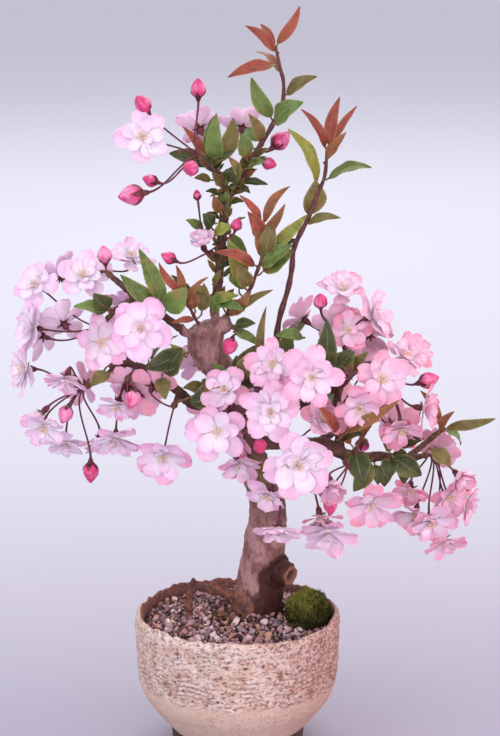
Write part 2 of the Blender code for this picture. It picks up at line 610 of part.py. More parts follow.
def rim_wave(angle):
    """The uneven torn edge of the rim, from -1 to 1."""
    return 0.5 * math.sin(3 * angle + 1.0) + 0.3 * math.sin(8 * angle + 2.0) + 0.2 * math.sin(15 * angle)


def lathe(profile, height_change=None):
    """A turned closed solid from a profile that starts and ends on the axis."""
    shape = Shape()
    rings = []
    for radius, height in profile[1:-1]:
        ring = []
        for side in range(POT_SIDES):
            angle = math.tau * side / POT_SIDES
            lift = height_change(angle, height) if height_change else 0.0
            ring.append(shape.point((radius * math.cos(angle), radius * math.sin(angle), height + lift)))
        rings.append(ring)
    for low, high in zip(rings, rings[1:]):
        shape.band(low, high)
    shape.fan(rings[0], shape.point((0.0, 0.0, profile[0][1])))
    shape.fan(rings[-1], shape.point((0.0, 0.0, profile[-1][1])))
    return shape


def block(low, high):
    """A plain box between two corners."""
    shape = Shape()
    corners = []
    for x in (low[0], high[0]):
        for y in (low[1], high[1]):
            for z in (low[2], high[2]):
                corners.append(shape.point((x, y, z)))
    for face in ((0, 1, 3, 2), (4, 6, 7, 5), (0, 4, 5, 1), (2, 3, 7, 6), (0, 2, 6, 4), (1, 5, 7, 3)):
        shape.faces.append(tuple(corners[i] for i in face))
    return shape


def post(centre, radius, low, high, sides):
    """An upright round cutter."""
    path = [Vector((*centre, low)), Vector((*centre, high))]
    return tube(path, [radius, radius], sides)


def make_pot():
    def wave(angle, height):
        return RIM_WAVE * rim_wave(angle) if height > RIM_HEIGHT - 3.5 else 0.0

    profile = [(0.0, 0.0)] + POT_OUTSIDE + POT_INSIDE + [(0.0, FLOOR_TOP)]
    pot = make_object("pot", lathe(profile, wave), rough_cream_clay())
    cutters = []
    for x in (-DRAIN_X, DRAIN_X):
        hole = post((x, 0.0), DRAIN_RADIUS, -CUT_OVER, FLOOR_TOP + CUT_OVER, 8)
        low = (x - CHANNEL_WIDTH / 2, 0.0, -CUT_OVER)
        high = (x + CHANNEL_WIDTH / 2, CHANNEL_REACH, CHANNEL_DEPTH)
        channel = block(low, high)
        cutters.append(make_object("drain_hole", hole, pot.data.materials[0]))
        cutters.append(make_object("drain_channel", channel, pot.data.materials[0]))
    apply_boolean(pot, "DIFFERENCE", cutters, "EXACT")


def make_drainage_mesh(name, x, material):
    base = FLOOR_TOP + CLEAR
    half = MESH_SIZE / 2
    sheet = make_object(name, block((x - half, -half, base), (x + half, half, base + MESH_THICK)), material)
    cutters = []
    for column in (-0.5, 0.5):
        for row in (-0.5, 0.5):
            east = x + column * MESH_PITCH
            north = row * MESH_PITCH
            low = (east - MESH_HOLE / 2, north - MESH_HOLE / 2, base - CUT_OVER)
            high = (east + MESH_HOLE / 2, north + MESH_HOLE / 2, base + CUT_OVER)
            cutters.append(make_object("mesh_hole", block(low, high), material))
    apply_boolean(sheet, "DIFFERENCE", cutters, "EXACT")


def inside_radius(height):
    """The pot's inner radius at a height."""
    outline = sorted(POT_INSIDE, key=lambda corner: corner[1])
    for (near, low), (far, high) in zip(outline, outline[1:]):
        if low <= height <= high:
            return near + (far - near) * (height - low) / (high - low)
    return outline[-1][0]


def soil_height(x, y, dice):
    """The grit's surface: mounded at the trunk, rough, and flat under the moss."""
    roughness = dice.uniform(-SOIL_GRIT, SOIL_GRIT)
    from_moss = math.hypot((x - MOSS_CENTRE[0]) / MOSS_HALF[0], (y - MOSS_CENTRE[1]) / MOSS_HALF[1])
    if from_moss < MOSS_FLAT:
        return MOSS_SEAT - CLEAR
    from_trunk = math.hypot(x - TRUNK_FOOT[0], y - TRUNK_FOOT[1]) / SOIL_MOUND_SPREAD
    return SOIL_LEVEL + SOIL_MOUND * math.exp(-from_trunk ** 2) + roughness


def make_soil():
    dice = random.Random(SEED)
    shape = Shape()
    rings = []
    right = Vector((1.0, 0.0, 0.0))
    back = Vector((0.0, 1.0, 0.0))
    for height in (SOIL_FLOOR, POT_INSIDE[3][1], POT_INSIDE[2][1]):
        middle = Vector((0.0, 0.0, height))
        rings.append(shape.ring(middle, right, back, inside_radius(height) - SOIL_GAP, POT_SIDES))
    edge = inside_radius(SOIL_LEVEL) - SOIL_GAP
    for radius in [edge] + SOIL_RINGS:
        ring = shape.ring(Vector(), right, back, radius, POT_SIDES)
        for corner in ring:
            place = shape.corners[corner]
            place.z = soil_height(place.x, place.y, dice)
        rings.append(ring)
    for low, high in zip(rings, rings[1:]):
        shape.band(low, high)
    shape.fan(rings[0], shape.point((0.0, 0.0, SOIL_FLOOR)))
    shape.fan(rings[-1], shape.point((0.0, 0.0, SOIL_LEVEL + 2.0)))
    soil = make_object("soil", shape, mixed_grit())
    trunk_hole = post(TRUNK_FOOT, TRUNK_HOLE_RADIUS, TRUNK_HOLE_FLOOR, HOLE_TOP, 16)
    root_hole = post(ROOT_FOOT, ROOT_HOLE_RADIUS, ROOT_HOLE_FLOOR, HOLE_TOP, 8)
    cutters = [make_object("hole", hole, soil.data.materials[0]) for hole in (trunk_hole, root_hole)]
    apply_boolean(soil, "DIFFERENCE", cutters, "EXACT")


def make_moss():
    """A low lumpy cushion against the rim."""
    dice = random.Random(SEED + 1)
    shape = Shape()
    rings = []
    for level in MOSS_LEVELS:
        spread = math.sqrt(1.0 - level * level)
        ring = []
        for side in range(MOSS_SIDES):
            angle = math.tau * side / MOSS_SIDES
            swell = 1.0 if level == 0.0 else 1.0 + dice.uniform(-0.06, 0.03)
            ring.append(shape.point((MOSS_CENTRE[0] + MOSS_HALF[0] * spread * swell * math.cos(angle),
                                     MOSS_CENTRE[1] + MOSS_HALF[1] * spread * swell * math.sin(angle),
                                     MOSS_SEAT + MOSS_HEIGHT * level)))
        rings.append(ring)
    for low, high in zip(rings, rings[1:]):
        shape.band(low, high)
    shape.lid(rings[0])
    shape.fan(rings[-1], shape.point((*MOSS_CENTRE, MOSS_SEAT + MOSS_HEIGHT)))
    make_object("moss", shape, moss_green())


def cut_knob():
    """A short stub of a limb that was cut off, healed to a ring round a hollow middle."""
    shape = limb(CUT_KNOB, KNOB_SIDES)
    rim = list(range(len(shape.corners) - KNOB_SIDES, len(shape.corners)))
    shape.faces.pop()
    place = Vector(CUT_KNOB[-1][:3])
    way = (place - Vector(CUT_KNOB[-2][:3])).normalized()
    low = rim
    for depth, share in KNOB_HOLLOW:
        ring = []
        for corner in rim:
            ring.append(shape.point(place + (shape.corners[corner] - place) * share - way * depth))
        shape.band(low, ring)
        low = ring
    shape.lid(low)
    return shape


def make_wood(material):
    """Trunk, surface root, cut knob, limbs and spurs, grown as one piece."""
    dice = random.Random(SEED + 2)
    most = TRUNK_BUMP - 1.0
    rough = [[dice.uniform(-most, most) for side in range(TRUNK_SIDES)] for level in TRUNK]

    def bump(level, side):
        return rough[level][side] if level > 2 else 0.0

    shapes = [tube([Vector(p[:3]) for p in TRUNK], [p[3] for p in TRUNK], TRUNK_SIDES, bump=bump)]
    shapes.append(limb(SURFACE_ROOT, 6))
    shapes.append(cut_knob())
    shapes.append(limb(CALLUS, 7))
    for points in LIMBS.values():
        shapes.append(limb(points, 6 if points[0][3] > 2.8 else 5))
    for inner, tip in SPURS.values():
        shapes.append(tube([Vector(inner), Vector(tip)], SPUR_RADII, 4))
    fuse("trunk_and_branches", shapes, material)


OPENINGS = {
    BLOOM: (math.radians(15), math.radians(42)),
    HALF: (math.radians(56), math.radians(72)),
}


def make_spray(number, name, flowers, material):
    """One bunch of flowers and buds whose stalks leave a spur together."""
    dice = random.Random(SEED + 100 + number)
    place, way = seat(name)
    shapes = [stub(place, way, SPRAY_COLLAR)]
    for kind, centre, (azimuth, height), size in flowers:
        facing = facing_vector(azimuth, height)
        root = place + way * STALK_START + scatter(dice, STALK_SCATTER)
        if kind == BUD:
            shapes.append(bud(Vector(centre), facing, size, root, way, dice))
        else:
            shapes.append(flower(Vector(centre), facing, size, OPENINGS[kind], root, way, dice))
    fuse(f"blossom_spray_{name}", shapes, material)


def make_rosette(number, name, leaves, material):
    """A few leaves that leave the side or the end of a limb together."""
    dice = random.Random(SEED + 200 + number)
    place, way = side_seat(*LEAF_SEATS[name]) if name in LEAF_SEATS else seat(name)
    shapes = [stub(place, way, LEAF_COLLAR)]
    for tip, width in leaves:
        start = place + way * LEAF_START + scatter(dice, LEAF_SCATTER)
        shapes.append(leaf(start, tip, width, dice))
    fuse("leaves_" + name, shapes, material)


def make_shoot(number, name, material):
    """A new shoot: a thin stem and the leaves along it."""
    dice = random.Random(SEED + 300 + number)
    place, way = seat(name)
    path = [place] + [Vector(p[:3]) for p in SHOOTS[name]]
    radii = [SHOOTS[name][0][3]] + [p[3] for p in SHOOTS[name]]
    shapes = [tube(path, radii, 5, start_way=way)]
    for start, tip, width in SHOOT_LEAVES[name][1]:
        shapes.append(leaf(start, tip, width, dice))
    fuse("shoot_" + name, shapes, material)


def main():
    for old in list(bpy.data.objects):
        bpy.data.objects.remove(old)
    make_pot()
    plastic = black_plastic()
    make_drainage_mesh("drainage_mesh_left", -DRAIN_X, plastic)
    make_drainage_mesh("drainage_mesh_right", DRAIN_X, plastic)
    make_soil()
    make_moss()
    make_wood(bark())
    pink = pink_petals()
    for number, (name, flowers) in enumerate(SPRAYS.items()):
        make_spray(number, name, flowers, pink)
    leaf_materials = {GREEN: green_leaf(), BRONZE: bronze_leaf()}
    for number, (name, (colour, leaves)) in enumerate(ROSETTES.items()):
        make_rosette(number, name, leaves, leaf_materials[colour])
    for number, name in enumerate(SHOOTS):
        make_shoot(number, name, leaf_materials[SHOOT_LEAVES[name][0]])


main()
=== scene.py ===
"""Looks for the flowering cherry bonsai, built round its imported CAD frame.

Places in the lists are in millimetres in the frame's own axes, as in the part's source: X to the
right, Y away from the front, Z up, from the middle of the pot's foot.
"""
import math
import random

import bmesh
import bpy
import numpy as np
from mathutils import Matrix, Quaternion, Vector
from mathutils.kdtree import KDTree
from mathutils.noise import noise


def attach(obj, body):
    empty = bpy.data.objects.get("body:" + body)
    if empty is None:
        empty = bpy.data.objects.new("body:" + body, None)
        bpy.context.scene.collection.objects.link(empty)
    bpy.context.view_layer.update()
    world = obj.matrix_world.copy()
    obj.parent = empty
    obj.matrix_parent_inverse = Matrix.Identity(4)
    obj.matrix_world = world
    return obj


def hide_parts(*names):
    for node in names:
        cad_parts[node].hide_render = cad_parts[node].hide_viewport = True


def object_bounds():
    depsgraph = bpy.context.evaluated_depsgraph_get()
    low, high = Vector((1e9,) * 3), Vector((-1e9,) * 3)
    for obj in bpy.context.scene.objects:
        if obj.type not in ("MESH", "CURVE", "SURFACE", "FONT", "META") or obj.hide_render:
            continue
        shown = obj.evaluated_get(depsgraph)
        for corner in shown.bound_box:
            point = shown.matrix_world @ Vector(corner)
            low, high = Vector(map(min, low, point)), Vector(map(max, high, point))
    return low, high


bl_info = {
    "name": "Flowering cherry bonsai",
    "version": (1, 0, 0),
    "blender": (4, 5, 0),
    "location": "3D View > Sidebar > Bonsai",
    "description": "Builds the pot, grit, moss, wood, blossom and leaves round the CAD frame",
    "category": "Add Mesh",
}

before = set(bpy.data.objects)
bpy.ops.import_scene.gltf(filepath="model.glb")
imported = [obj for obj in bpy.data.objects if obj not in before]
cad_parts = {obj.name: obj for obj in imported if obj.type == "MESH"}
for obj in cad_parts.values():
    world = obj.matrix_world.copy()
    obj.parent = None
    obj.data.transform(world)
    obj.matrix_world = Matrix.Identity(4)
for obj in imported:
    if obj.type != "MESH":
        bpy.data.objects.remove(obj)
CAD_BOX = [np.array(corner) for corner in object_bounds()]

MM = 0.001
SEED = 11
# The gap between a piece and the wood or soil that it stands on.
CLEAR = 0.3

RIM_HEIGHT = 76.0
RIM_WAVE = 0.9
FLOOR_TOP = 13.0
POT_OUTSIDE = [(36.0, 0.0), (37.0, 12.5), (40.5, 15.5), (46.0, 22.5), (51.3, 29.5), (54.2, 36.5),
               (55.6, 50.0), (56.2, 73.5), (54.6, RIM_HEIGHT)]
POT_INSIDE = [(52.8, RIM_HEIGHT), (51.6, 73.0), (48.2, 36.0), (38.5, 20.0), (33.0, FLOOR_TOP)]
OUTER_WALL = ([z for _, z in POT_OUTSIDE], [reach for reach, _ in POT_OUTSIDE])
DRAIN_RADIUS = 4.5
DRAIN_X = 16.0
CHANNEL_WIDTH = 5.0
CHANNEL_DEPTH = 2.5
CHANNEL_REACH = 45.0
CUT_BELOW = -5.0
INNER_STEP = (50.6, 62.0)
FOOT_TOP = 14.0
FOOT_REACH = 38.0
SKIN_BORDER = 39.0
SKIN_THICK = 1.2
THROWN_FROM = 40.0
THROWN_HIGH = 20.0
WAVY_FROM = 66.0
TORN_FROM = 73.0
INNER_EDGE = 70.0

SOIL_FLOOR = 14.5
SOIL_LEVEL = 71.0
SOIL_MOUND = 3.0
SOIL_MOUND_SPREAD = 28.0
SOIL_TOP = 70.0
SOIL_OUTSIDE = [(0.0, SOIL_FLOOR), (28.0, SOIL_FLOOR), (33.0, 16.0), (37.8, 20.0), (47.6, 36.0),
                (51.0, SOIL_TOP)]
MOSS_CENTRE = (38.6, -2.0)
MOSS_HALF = (12.0, 17.0)
MOSS_HEIGHT = 17.0
MOSS_SEAT = 71.6
MOSS_FLAT = 1.6
TRUNK_FOOT = (10.5, 14.0)
# The CAD trunk's radius with its bumps, as a share of the plain one.
TRUNK_BUMP = 1.045

# Colours that no setting changes: a single one, and pairs of a dark and a light one.
# The first colour below is painted shade in the gaps between the grit's crumbs.
GRIT_GAP_SHADE = (0.015, 0.01, 0.008)
MESH_BLACK = ((0.012, 0.012, 0.013), (0.03, 0.03, 0.032))
SPUR_SCALES = ((0.1, 0.035, 0.02), (0.2, 0.09, 0.05))
LEAF_STALKS = ((0.16, 0.08, 0.03), (0.25, 0.2, 0.07))
LEAF_SCALES = ((0.1, 0.035, 0.02), (0.22, 0.11, 0.06))
SHOOT_STEMS = ((0.09, 0.02, 0.025), (0.17, 0.06, 0.05))
# What is added to a leaf's own colour for its rib and for its underside.
LEAF_RIB = (0.22, 0.2, 0.1)
LEAF_BELOW = (0.1, 0.1, 0.06)
# The parts of a stamen tuft, with a second colour that mottles each.
THREADS = ((0.93, 0.76, 0.76), (0.86, 0.72, 0.5))
ANTHERS = ((0.93, 0.8, 0.55), (0.86, 0.55, 0.3))
DISC = ((0.82, 0.72, 0.4), (0.7, 0.62, 0.25))

# Each kind of stone: its share of the loose ones, and its light, dark and fleck colours.
STONE_KINDS = {
    "grit_grey": (0.28, ((0.50, 0.35, 0.37), (0.16, 0.105, 0.12), (0.62, 0.5, 0.5))),
    "grit_mauve": (0.28, ((0.54, 0.29, 0.30), (0.19, 0.085, 0.09), (0.66, 0.46, 0.45))),
    "grit_tan": (0.16, ((0.56, 0.31, 0.21), (0.26, 0.11, 0.07), (0.7, 0.48, 0.36))),
    "grit_pale": (0.10, ((0.78, 0.60, 0.60), (0.46, 0.32, 0.32), (0.86, 0.74, 0.73))),
    "grit_dark": (0.16, ((0.14, 0.07, 0.062), (0.04, 0.02, 0.018), (0.25, 0.15, 0.13))),
    "grit_bark": (0.0, ((0.3, 0.12, 0.075), (0.1, 0.035, 0.025), (0.4, 0.2, 0.13))),
}
STONE_SIZES = (1.6, 2.2, 2.8, 3.3, 3.9, 4.8)
STONE_CELL = 2.2
STONE_REACH = 49.2
STONE_OVERLAP = 0.36
TRIES_PER_STONE = 30
TRUNK_CLEAR = 14.0
MOSS_OVERHANG = 0.97
PALE_STONES = ((-0.6, -11.0, 5.2), (14.5, -12.5, 5.6), (-12.5, -28.0, 5.4), (6.0, -34.0, 5.0),
               (-24.0, -40.0, 5.2), (-38.0, -8.0, 5.0), (-21.0, -33.0, 4.6))

TRUNK = [(10.5, 14, 56, 13.2), (10.5, 14, 66, 14.4), (10.5, 14, 76.5, 14.5), (11.8, 14, 84, 13.3),
         (13.2, 14, 95, 12.4), (15, 13, 112, 11.3), (16.7, 12, 128, 10.2), (15.5, 11.5, 140, 9.5),
         (11, 11, 150, 9.0), (6, 10, 162, 8.5), (1, 9, 176, 8.2), (-2, 8, 193, 8.1), (-7, 7, 207, 8.2),
         (-14, 6, 216, 8.5), (-17, 5.5, 224, 9.3), (-17, 5, 232, 10.0)]
SURFACE_ROOT = [(8, 12, 79, 4.2), (-6, 9, 83, 3.6), (-16, 6, 86, 3.2), (-23, 3, 88.5, 3.0),
                (-26.5, 1.5, 84, 2.6), (-27, 1, 76, 2.3), (-27, 1, 62, 2.3)]
CUT_KNOB = [(16, 11, 97, 7.0), (22, 7.5, 96.5, 6.0), (26.5, 3.5, 96, 5.1), (29.5, 1, 95.5, 5.4)]
CALLUS = [(-11, 4, 233, 4.5), (-6, 3.5, 236, 4.2), (-3.5, 3, 237, 2.6)]

LIMBS = {
    "leader": [(-12, 5, 226, 4.0), (-11, 6, 236, 3.2), (-12, 7, 242, 2.7), (-10, 8, 259, 2.5),
        (-9, 8, 271, 2.4), (-8, 7, 283, 2.6), (-6, 6, 299, 2.7), (-4, 5, 307, 2.6)],
    "leader_left": [(-5, 6, 303, 2.2), (-8, 2, 314, 1.9), (-14, -2, 321, 1.7), (-17, -4, 324, 1.6)],
    "leader_right": [(-4.5, 5, 304, 2.3), (2, 6, 313, 2.0), (8, 6, 323, 1.8), (11, 6, 329, 1.6)],
    "left_top": [(-16, 4, 226, 3.0), (-25, 2, 230, 2.4), (-38, -4, 241, 2.1), (-44, -6, 245, 2.0),
        (-54, -6, 253, 1.9), (-61, -2, 258, 1.7), (-66, 0, 262, 1.6)],
    "left_side": [(-53, -6, 252, 1.8), (-62, -6, 247, 1.6), (-69, -4, 240, 1.5)],
    "left_low": [(1, 8, 189, 3.6), (-10, 6, 190, 3.2), (-24, 4, 192, 2.9), (-31, 2, 199, 2.7),
        (-37, 0, 204, 2.5), (-45, 0, 210, 2.3), (-53, 2, 213, 2.2), (-62, 4, 214, 2.0), (-70, 2, 208, 1.8),
        (-78, 0, 204, 1.6)],
    "left_back": [(-34, 1, 202, 2.2), (-44, 14, 204, 2.0), (-55, 24, 208, 1.8), (-62, 31, 212, 1.6)],
    "right_low": [(5, 8, 168, 4.4), (20, 2, 171, 3.9), (34, -6, 172, 3.6), (47, -12, 174, 3.4),
        (55, -12, 169, 3.2), (68, -10, 166, 2.9), (78, -8, 166, 2.6), (87, -6, 163, 2.3),
        (99, -4, 165, 1.7)],
    "right_tip": [(90, -5.5, 163.5, 1.9), (101, 3, 170, 1.6), (109, 2, 177, 1.5)],
    "right_back": [(42, -9, 173, 2.4), (52, 6, 176, 2.2), (62, 20, 180, 1.9), (70, 28, 183, 1.6)],
    "right_up": [(-1, 8, 186, 3.8), (12, 6, 185, 3.3), (26, 4, 188, 2.9), (44, 0, 198, 2.6),
        (55, -2, 204, 2.4), (60, -2, 209, 2.1), (65, -2, 213, 1.7)],
    "right_rise": [(55, -11, 170, 2.5), (54, -9, 182, 2.3), (53, -6, 194, 2.1), (55, -3, 203, 1.9)],
    "right_upright": [(27, 4, 189, 2.2), (24, 11, 205, 2.0), (21, 12, 227, 1.8)],
    "back": [(1, 9, 174, 3.6), (-3, 24, 184, 2.7), (-7, 38, 190, 2.2), (-9, 48, 193, 1.7)],
}

SPURS = {
    "left_front": [(-51, -6, 251), (-53, -11, 248)],
    "left_low_mid": [(-53, 2, 213), (-57, -4, 209)],
    "left_low_root": [(-31, 2, 199), (-33, -6, 195)],
    "trunk_front": [(0, 7, 178), (-4, -5, 183)],
    "right_low_root": [(34, -6, 172), (33, -14, 176)],
    "right_low_mid": [(55, -12, 169), (57, -20, 167)],
    "right_up_root": [(26, 4, 188), (27, -6, 197)],
    "right_up_top": [(56, -2, 205), (57, 4, 217)],
    "top_back": [(7, 6, 322), (5, 13, 327)],
    "leader_front": [(-9, 8, 271), (-13, 1, 274)],
    "callus": [(-6, 3.5, 236), (0, 0, 234)],
    "mid_shoot": [(-8, 5, 238), (-2, 2.5, 244)],
    "left_shoot": [(-17, 1, 230), (-20, -3, 237)],
}

LEAF_SEATS = {
    "left_top": ("left_top", 2.5, (-0.1, -0.8, 0.6)),
    "left_side": ("left_side", 1.4, (-0.2, -0.8, 0.5)),
    "left_low": ("left_low", 4.6, (0.1, -0.8, 0.6)),
    "left_tip": ("left_low", 7.5, (-0.2, 0.6, 0.7)),
    "left_root": ("left_low", 1.5, (0.0, -0.7, 0.7)),
    "crown": ("leader", 2.3, (-0.7, -0.6, 0.3)),
    "centre": ("trunk", 11.3, (0.5, -0.85, 0.2)),
    "leader": ("leader", 5.1, (0.6, 0.7, 0.0)),
    "top": ("leader_left", 1.5, (-0.3, 0.7, 0.6)),
    "right_up": ("right_up", 3.1, (0.1, -0.8, 0.6)),
    "upright": ("right_upright", 1.5, (0.7, -0.6, 0.1)),
    "right_mid": ("right_low", 4.5, (0.1, -0.6, 0.75)),
    "right_outer": ("right_low", 6.2, (0.1, -0.8, 0.5)),
    "left_back": ("left_back", 1.5, (-0.3, 0.4, 0.85)),
    "right_back": ("right_back", 1.5, (-0.5, 0.5, 0.7)),
    "back": ("back", 1.6, (0.6, 0.0, 0.8)),
}

BLOOM, HALF, BUD, SPENT = "bloom", "half", "bud", "spent"
# Each flower: its kind, its middle, the azimuth and height it looks at, its width, and how deep a
# pink it is, from 0, nearly white, to 1.
SPRAYS = {
    "left_top": [(BLOOM, (-82, 5, 261), (-80, 40), 31, 0.1), (BLOOM, (-57, 15, 269), (-70, 65), 27, 0.2),
        (BLOOM, (-96, 20, 259), (150, 35), 28, 0.15), (BUD, (-70, 0, 274), (-100, 70), 11, 0.65)],
    "left_side": [(BLOOM, (-73, -12, 229), (-55, 10), 31, 0.2),
        (BLOOM, (-106, 22, 226), (140, 10), 30, 0.05), (BLOOM, (-93, 6, 236), (120, 25), 28, 0.0),
        (BLOOM, (-107, 8, 256), (-120, 30), 27, 0.0), (BLOOM, (-108, -2, 235), (-150, 15), 29, 0.0)],
    "left_front": [(BLOOM, (-50, -24, 239), (-88, 12), 35, 0.3)],
    "left_low": [(BLOOM, (-113, 4, 211), (-152, 5), 30, 0.1),
        (BLOOM, (-90, -12, 210), (-110, -55), 28, 0.45), (HALF, (-105, -2, 188), (-150, -40), 15, 0.6),
        (BUD, (-92, -4, 188), (-120, -50), 11, 0.55), (BLOOM, (-103, -9, 183), (-95, -30), 25, 0.05),
        (BLOOM, (-94, 10, 169), (-95, -48), 26, 0.0), (BUD, (-79, -4, 156), (-90, -80), 12, 0.8)],
    "left_low_mid": [(BLOOM, (-53, 2, 198), (85, -20), 27, 0.7),
        (BUD, (-55, -16, 199), (-100, -30), 12, 0.5), (BLOOM, (-65, -8, 176), (-90, -42), 30, 0.3)],
    "left_low_root": [(BLOOM, (-39, -20, 170), (-95, -25), 32, 0.4)],
    "trunk_front": [(BLOOM, (-10, -30, 186), (-95, 5), 33, 0.25),
        (BLOOM, (-6, -14, 203), (-110, 30), 27, 0.45), (BLOOM, (2, -16, 165), (-85, -42), 25, 0.5),
        (BUD, (12, -29, 177), (-80, -30), 10, 0.9), (BLOOM, (17, -37, 198), (-88, 8), 35, 0.2)],
    "right_low_root": [(BLOOM, (32, -48, 173), (-90, 0), 37, 0.0),
        (BLOOM, (17, -34, 153), (-115, -38), 26, 0.25), (BLOOM, (22, -40, 136), (-92, -55), 28, 0.25),
        (BLOOM, (44, -28, 191), (-60, 35), 25, 0.6)],
    "right_low_mid": [(HALF, (49, -38, 159), (-80, -35), 19, 0.7),
        (BUD, (49, -34, 146), (-90, -70), 10, 0.95), (BLOOM, (48, -26, 129), (-90, -38), 31, 0.2),
        (BLOOM, (71, -22, 144), (-85, -25), 32, 0.5)],
    "right_low": [(BLOOM, (104, -14, 132), (-80, -36), 31, 0.4),
        (BLOOM, (124, 2, 137), (-20, -10), 26, 0.6), (HALF, (119, -8, 155), (-60, -20), 17, 0.75),
        (BLOOM, (113, 2, 116), (-65, -48), 28, 0.65), (BLOOM, (93, -6, 147), (-100, -40), 24, 0.85),
        (BLOOM, (109, 14, 163), (60, 20), 27, 0.6)],
    "right_up": [(BLOOM, (75, -24, 212), (-75, 12), 34, 0.5), (BLOOM, (88, -6, 220), (-50, 35), 27, 0.45),
        (BLOOM, (64, -34, 200), (-100, -15), 27, 0.6), (BLOOM, (86, -24, 186), (-85, -40), 25, 0.7),
        (BLOOM, (99, -10, 193), (-20, -5), 28, 0.65), (BUD, (102, -4, 207), (-10, 20), 12, 0.8)],
    "right_up_top": [(BLOOM, (71, -6, 242), (-30, 25), 30, 0.35),
        (BLOOM, (56, 8, 253), (-90, 60), 26, 0.35), (BLOOM, (35, 16, 237), (150, 35), 27, 0.5),
        (BUD, (44, -4, 250), (-95, 60), 10, 0.9), (BLOOM, (53, 4, 235), (100, 25), 27, 0.5),
        (BLOOM, (72, 16, 228), (40, 20), 28, 0.5)],
    "right_up_root": [(BLOOM, (19, -24, 220), (-100, 15), 32, 0.35),
        (BLOOM, (38, -40, 217), (-85, 10), 34, 0.35)],
    "leader_left": [(BUD, (-49, 0, 353), (-130, 45), 12, 0.75),
        (BLOOM, (-48, -4, 336), (-100, 15), 30, 0.0), (BUD, (-20, 0, 361), (-90, 80), 11, 0.9),
        (BUD, (-24, -12, 321), (-110, 10), 11, 0.9), (BUD, (-45, -6, 314), (170, 15), 9, 0.9),
        (BUD, (-55, -4, 306), (175, -10), 15, 0.75)],
    "top_back": [(BLOOM, (-20, 16, 339), (110, 30), 25, 0.2), (BLOOM, (3, 24, 339), (80, 35), 24, 0.15),
        (BUD, (23, 12, 333), (20, 40), 13, 0.8), (BUD, (17, 8, 321), (-30, -10), 9, 0.95)],
    "leader_front": [(BUD, (0, -6, 291), (-60, 60), 8, 0.9), (HALF, (-18, -5, 281), (-110, 62), 14, 0.5),
        (BUD, (-36, -4, 273), (175, 25), 9, 0.85), (BUD, (-21, 4, 305), (120, 75), 6, 0.95)],
    "callus": [(BUD, (-4, -8, 226), (-110, -40), 11, 0.9)],
    "left_back": [(BLOOM, (-70, 42, 217), (100, 20), 31, 0.35),
        (BLOOM, (-85, 36, 195), (140, -15), 29, 0.5), (BLOOM, (-56, 38, 190), (80, -35), 30, 0.4),
        (BLOOM, (-62, 32, 240), (100, 55), 28, 0.3), (BUD, (-42, 40, 205), (70, 10), 11, 0.8)],
    "back": [(BLOOM, (-14, 58, 176), (95, -20), 31, 0.5), (BLOOM, (12, 56, 188), (70, 10), 31, 0.35),
        (BLOOM, (-22, 54, 204), (120, 25), 30, 0.4), (BUD, (4, 50, 168), (70, -40), 11, 0.85)],
    "right_back": [(BLOOM, (54, 38, 184), (110, 5), 30, 0.45), (BLOOM, (86, 38, 172), (60, -10), 31, 0.55),
        (BLOOM, (68, 38, 208), (85, 35), 30, 0.4), (BUD, (70, 44, 158), (85, -50), 11, 0.85)],
}

GREEN, DARK, YOUNG, OLIVE, BRONZE, RED = range(6)
ROSETTES = {
    "left_top": [((-50, -12, 279), 8, GREEN), ((-60, -16, 266), 7, GREEN), ((-27, -16, 259), 10, GREEN)],
    "left_side": [((-74, -18, 256), 9, DARK), ((-85, -15, 250), 7, GREEN)],
    "left_low": [((-30, -12, 226), 11, DARK), ((-38, -16, 200), 7, OLIVE)],
    "left_tip": [((-84, 8, 226), 8, OLIVE), ((-72, 26, 222), 9, GREEN)],
    "left_root": [((-11, -8, 209), 9, GREEN), ((-27, -15, 206), 8, OLIVE)],
    "crown": [((-1, -9, 255), 6, YOUNG), ((-21, -10, 258), 5, YOUNG), ((3, -14, 247), 5, GREEN),
        ((-31, 0, 254), 5, BRONZE), ((-27, 14, 254), 6, GREEN)],
    "centre": [((9, -6, 226), 13, DARK), ((-12, -5, 217), 7, GREEN)],
    "leader": [((6, 6, 269), 5, GREEN), ((4, 16, 292), 6, GREEN), ((-12, 26, 288), 6, GREEN)],
    "top": [((-10, -10, 347), 7, GREEN), ((-1, 8, 345), 8, OLIVE), ((-36, 9, 327), 7, DARK),
        ((-28, 5, 341), 5, RED), ((-16, 24, 324), 7, GREEN)],
    "right_up": [((46, -12, 240), 10, DARK), ((58, -16, 226), 9, DARK)],
    "upright": [((28, -4, 234), 7, GREEN), ((38, 20, 236), 7, GREEN)],
    "right_mid": [((82, -18, 199), 6, BRONZE), ((42, -22, 200), 6, RED), ((66, -26, 157), 10, DARK)],
    "right_outer": [((80, -20, 157), 7, DARK), ((91, -18, 168), 6, DARK), ((78, -11, 181), 7, OLIVE)],
    "right_tip": [((138, -6, 187), 5, OLIVE), ((99, 6, 199), 5, BRONZE), ((124, 12, 168), 6, GREEN)],
    "left_back": [((-34, 28, 226), 9, GREEN), ((-56, 40, 228), 9, DARK)],
    "right_back": [((44, 30, 202), 9, GREEN), ((40, 34, 176), 9, DARK)],
    "back": [((16, 40, 212), 9, GREEN), ((12, 44, 170), 8, DARK)],
}

